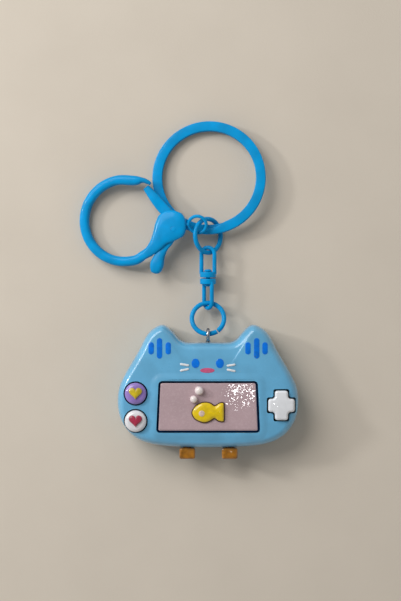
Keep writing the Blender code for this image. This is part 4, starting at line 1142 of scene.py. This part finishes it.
class KEYCHAIN_OT_key_ring(Operator):
    """Split key ring: two turns of flat band with rounded edges"""
    bl_idname = "keychain.key_ring"
    bl_label = "Build the key ring"

    def execute(self, context):
        radius = (KEY_INNER + KEY_OUTER) / 2
        half = (KEY_OUTER - KEY_INNER) / 2
        bm, face = rounded_face(box_corners(radius, KEY_LAYER / 2, half, KEY_BAND / 2), KEY_CORNER, 0.0, 4)
        bmesh.ops.delete(bm, geom=[face], context="FACES_ONLY")
        moved(bm, Matrix.Rotation(radians(KEY_START), 4, "Z") @ Matrix.Rotation(pi / 2, 4, "X"))
        fall_start, fall_end = KEY_FALL
        quarter = (fall_end - fall_start) / 4
        spans = [(fall_start - KEY_START, 0.0), *zip((quarter, 2 * quarter, quarter), KEY_FALL_SHARES),
                 (KEY_END - fall_end, 0.0)]
        loop = bm.verts[:] + bm.edges[:]
        for sweep, share in spans:
            steps = max(4, round(sweep / KEY_STEP))
            made = bmesh.ops.spin(bm, geom=loop, cent=(0, 0, 0), axis=(0, 0, 1), angle=radians(sweep),
                                  dvec=(0.0, 0.0, -KEY_LAYER * share / steps), steps=steps)
            loop = made["geom_last"]
        bmesh.ops.holes_fill(bm, edges=bm.edges, sides=0)
        for vert in bm.verts:
            past = (degrees(atan2(vert.co.y, vert.co.x)) - KEY_START) % 360.0
            width = KEY_TIP_WIDTH + past / KEY_TIP_ANGLE
            if vert.co.z > 0.0 and width < 1.0:
                reach = vert.co.to_2d().length
                narrowed = KEY_OUTER - (KEY_OUTER - reach) * width
                vert.co.xy *= narrowed / reach
        rise_x, rise_y = KEY_SLOPE
        normal = Vector((-rise_x, rise_y, 1.0)).normalized()
        right = Vector((1.0, 0.0, rise_x)).normalized()
        basis = Matrix((right, normal.cross(right), normal)).transposed().to_4x4()
        enamelled("key_ring_band", moved(bm, place(*KEY_CENTRE) @ basis), "key_ring", "split_key_ring")
        return {"FINISHED"}


def clasp_rows():
    """Rows of the hook, from its nose round into the bulb."""
    bow = arc(*HOOK_CENTRE, HOOK_RADIUS, HOOK_RADIUS, *HOOK_BOW, 8)
    return HOOK_NOSE + [(*point, HOOK_WIRE, HOOK_WIRE) for point in bow] + HOOK_END


def clasp_bulb():
    """Drop-shaped bulb: crowned, rounder below and thinner towards the hook."""
    bm, base = flat_face(even_steps(spline(BULB, 6, closed=True), 120), 0.0)
    face = extruded(bm, base, BULB_WALL)
    puffed(bm, face, BULB_SPINE, BULB_CROWN, 10, BULB_POWERS[0])
    puffed(bm, base, BULB_SPINE, -BULB_WALL - BULB_CROWN, 10, BULB_POWERS[1])
    thin_u, full_u = BULB_TAPER
    for vert in bm.verts:
        share = min(max((vert.co.x - thin_u) / (full_u - thin_u), 0.0), 1.0)
        vert.co.z *= 1.0 - BULB_THINNING * (1.0 - share)
    return bm


def slot_outline():
    """Room for the lever round its pin: one wedge for the gate, one for the thumb tab."""
    points = []
    for step in range(120):
        bearing = 3.0 * step
        reach = max([SLOT_HUB] + [far for start, stop, far in SLOT_WEDGES if start <= bearing <= stop])
        points.append(PIN_CENTRE + Vector((cos(radians(bearing)), sin(radians(bearing)))) * reach)
    return points


class KEYCHAIN_OT_clasp(Operator):
    """Lobster clasp: hook with its bulb, gate lever, pin and swivelling eyelet"""
    bl_idname = "keychain.clasp"
    bl_label = "Build the clasp"

    def execute(self, context):
        matrix = place(*EYELET_CENTRE, (-CLASP_SLOPE, "Y"))
        bore = PIN_RADIUS + 0.15
        body_hole, lever_hole = (moved(rod(bore, -4.0, 4.0, 32, *PIN_CENTRE), matrix) for _ in range(2))
        slot = moved(prism(slot_outline(), -SLOT_HALF, SLOT_HALF), matrix)
        well = moved(rod(0.95, 0.0, 3.0, 32), matrix @ place(-5.0, 0, 0, ALONG_U))
        hook = moved(swept(spline(clasp_rows(), 6), 32, HOOK_POWER), matrix)
        enamelled("clasp_hook", hook, "clasp", "clasp_body", (moved(clasp_bulb(), matrix), JOIN), (slot, CUT),
                  (body_hole, CUT), (well, CUT))
        lever = moved(swept(spline(LEVER, 6), 28, LEVER_POWER), matrix)
        enamelled("clasp_gate", lever, "lever", "clasp_lever", (lever_hole, CUT))
        head = [(0.73, 1.62), (0.6, 1.66), (0.3, 1.68)]
        pin = turned([(radius, -height) for radius, height in reversed(head)] + head, 32, *PIN_CENTRE)
        enamelled("clasp_pin_round", moved(pin, matrix), "clasp", "clasp_pin")
        eyelet = wire_ring(EYELET_RADIUS, EYELET_WIRE, sides=16)
        moved(eyelet, matrix @ Matrix.Rotation(EYELET_ROLL, 4, "X"))
        post = turned([(0.75, 0.0), (0.75, 0.35), (0.5, 0.45), (0.5, 2.2)], 32)
        moved(post, matrix @ place(-4.45, 0, 0, ALONG_U))
        enamelled("clasp_eyelet_round", eyelet, "eyelet", "clasp_eyelet", (post, JOIN))
        return {"FINISHED"}


class KEYCHAIN_OT_carried_nodes(Operator):
    """Finishes for the CAD pieces that are shown as they are"""
    bl_idname = "keychain.carried_nodes"
    bl_label = "Finish the carried pieces"

    def execute(self, context):
        slots = {part["node"]: part["material_slot"] for part in frame["record"]["subparts"]}
        for name, obj in frame["nodes"].items():
            obj.data.materials.clear()
            obj.data.materials.append(finish(slots[name]))
        return {"FINISHED"}


def soft_light(name, power, size, position):
    data = bpy.data.lights.new(name, "AREA")
    data.shape = "DISK"
    data.size = size
    data.energy = power
    light = bpy.data.objects.new(name, data)
    light.location = position
    light.rotation_euler = (Vector(AIM) - Vector(position)).to_track_quat("-Z", "Y").to_euler()
    bpy.context.scene.collection.objects.link(light)


class KEYCHAIN_OT_stage(Operator):
    """Plain floor, soft studio light and the camera straight above"""
    bl_idname = "keychain.stage"
    bl_label = "Set the stage"

    def execute(self, context):
        scene = context.scene
        bm = bmesh.new()
        bmesh.ops.create_grid(bm, x_segments=1, y_segments=1, size=FLOOR_REACH)
        floor = mesh_object("floor", moved(bm, Matrix.Translation((0.0, 0.0, -FLOOR_DROP))))
        floor.data.materials.append(finish("floor"))
        for name, (size, position) in LIGHTS.items():
            soft_light(f"{name}_light", getattr(detail(), f"{name}_power"), size, position)
        world = bpy.data.worlds.new("studio")
        world.use_nodes = True
        tree = world.node_tree
        sky = tree.nodes["Background"]
        sky.inputs["Color"].default_value = SKY_COLOUR
        where = new_node(tree, "TexCoord")
        split = new_node(tree, "SeparateXYZ")
        fade = new_node(tree, "MapRange", To_Min=detail().sky_strength, To_Max=detail().overhead_strength)
        wired(tree, (where, "Generated", split, "Vector"), (split, "Z", fade, "Value"),
              (fade, "Result", sky, "Strength"))
        scene.world = world
        data = bpy.data.cameras.new("camera")
        data.sensor_width = 36.0
        data.lens = data.sensor_width * detail().camera_height / detail().view_height
        camera = bpy.data.objects.new("camera", data)
        camera.location = (AIM[0], AIM[1], AIM[2] + detail().camera_height)
        scene.collection.objects.link(camera)
        scene.camera = camera
        scene.view_settings.view_transform = "Standard"
        return {"FINISHED"}


class KEYCHAIN_PT_panel(Panel):
    """Colours, detail and build steps of the keychain"""
    bl_idname = "KEYCHAIN_PT_panel"
    bl_label = "Keychain"
    bl_space_type = "VIEW_3D"
    bl_region_type = "UI"
    bl_category = "Keychain"

    def draw(self, context):
        layout = self.layout
        for group in (context.scene.keychain_colours, context.scene.keychain_detail):
            box = layout.box()
            for name in group.bl_rna.properties.keys():
                if name not in ("rna_type", "name"):
                    box.prop(group, name)
        for step in STEPS:
            layout.operator(step.bl_idname)


STEPS = (KEYCHAIN_OT_case, KEYCHAIN_OT_screws, KEYCHAIN_OT_face_prints, KEYCHAIN_OT_screen,
         KEYCHAIN_OT_buttons, KEYCHAIN_OT_cross, KEYCHAIN_OT_feet, KEYCHAIN_OT_chain, KEYCHAIN_OT_key_ring,
         KEYCHAIN_OT_clasp, KEYCHAIN_OT_carried_nodes, KEYCHAIN_OT_stage)
CLASSES = (KeychainColours, KeychainDetail) + STEPS + (KEYCHAIN_PT_panel,)


def register():
    for cls in CLASSES:
        bpy.utils.register_class(cls)
    bpy.types.Scene.keychain_colours = PointerProperty(type=KeychainColours)
    bpy.types.Scene.keychain_detail = PointerProperty(type=KeychainDetail)


def unregister():
    del bpy.types.Scene.keychain_detail
    del bpy.types.Scene.keychain_colours
    for cls in reversed(CLASSES):
        bpy.utils.unregister_class(cls)


def main():
    register()
    bpy.ops.keychain.case()
    bpy.ops.keychain.screws()
    bpy.ops.keychain.face_prints()
    bpy.ops.keychain.screen()
    bpy.ops.keychain.buttons()
    bpy.ops.keychain.cross()
    bpy.ops.keychain.feet()
    bpy.ops.keychain.chain()
    bpy.ops.keychain.key_ring()
    bpy.ops.keychain.clasp()
    bpy.ops.keychain.carried_nodes()
    bpy.ops.keychain.stage()


if __name__ == "__main__":
    main()
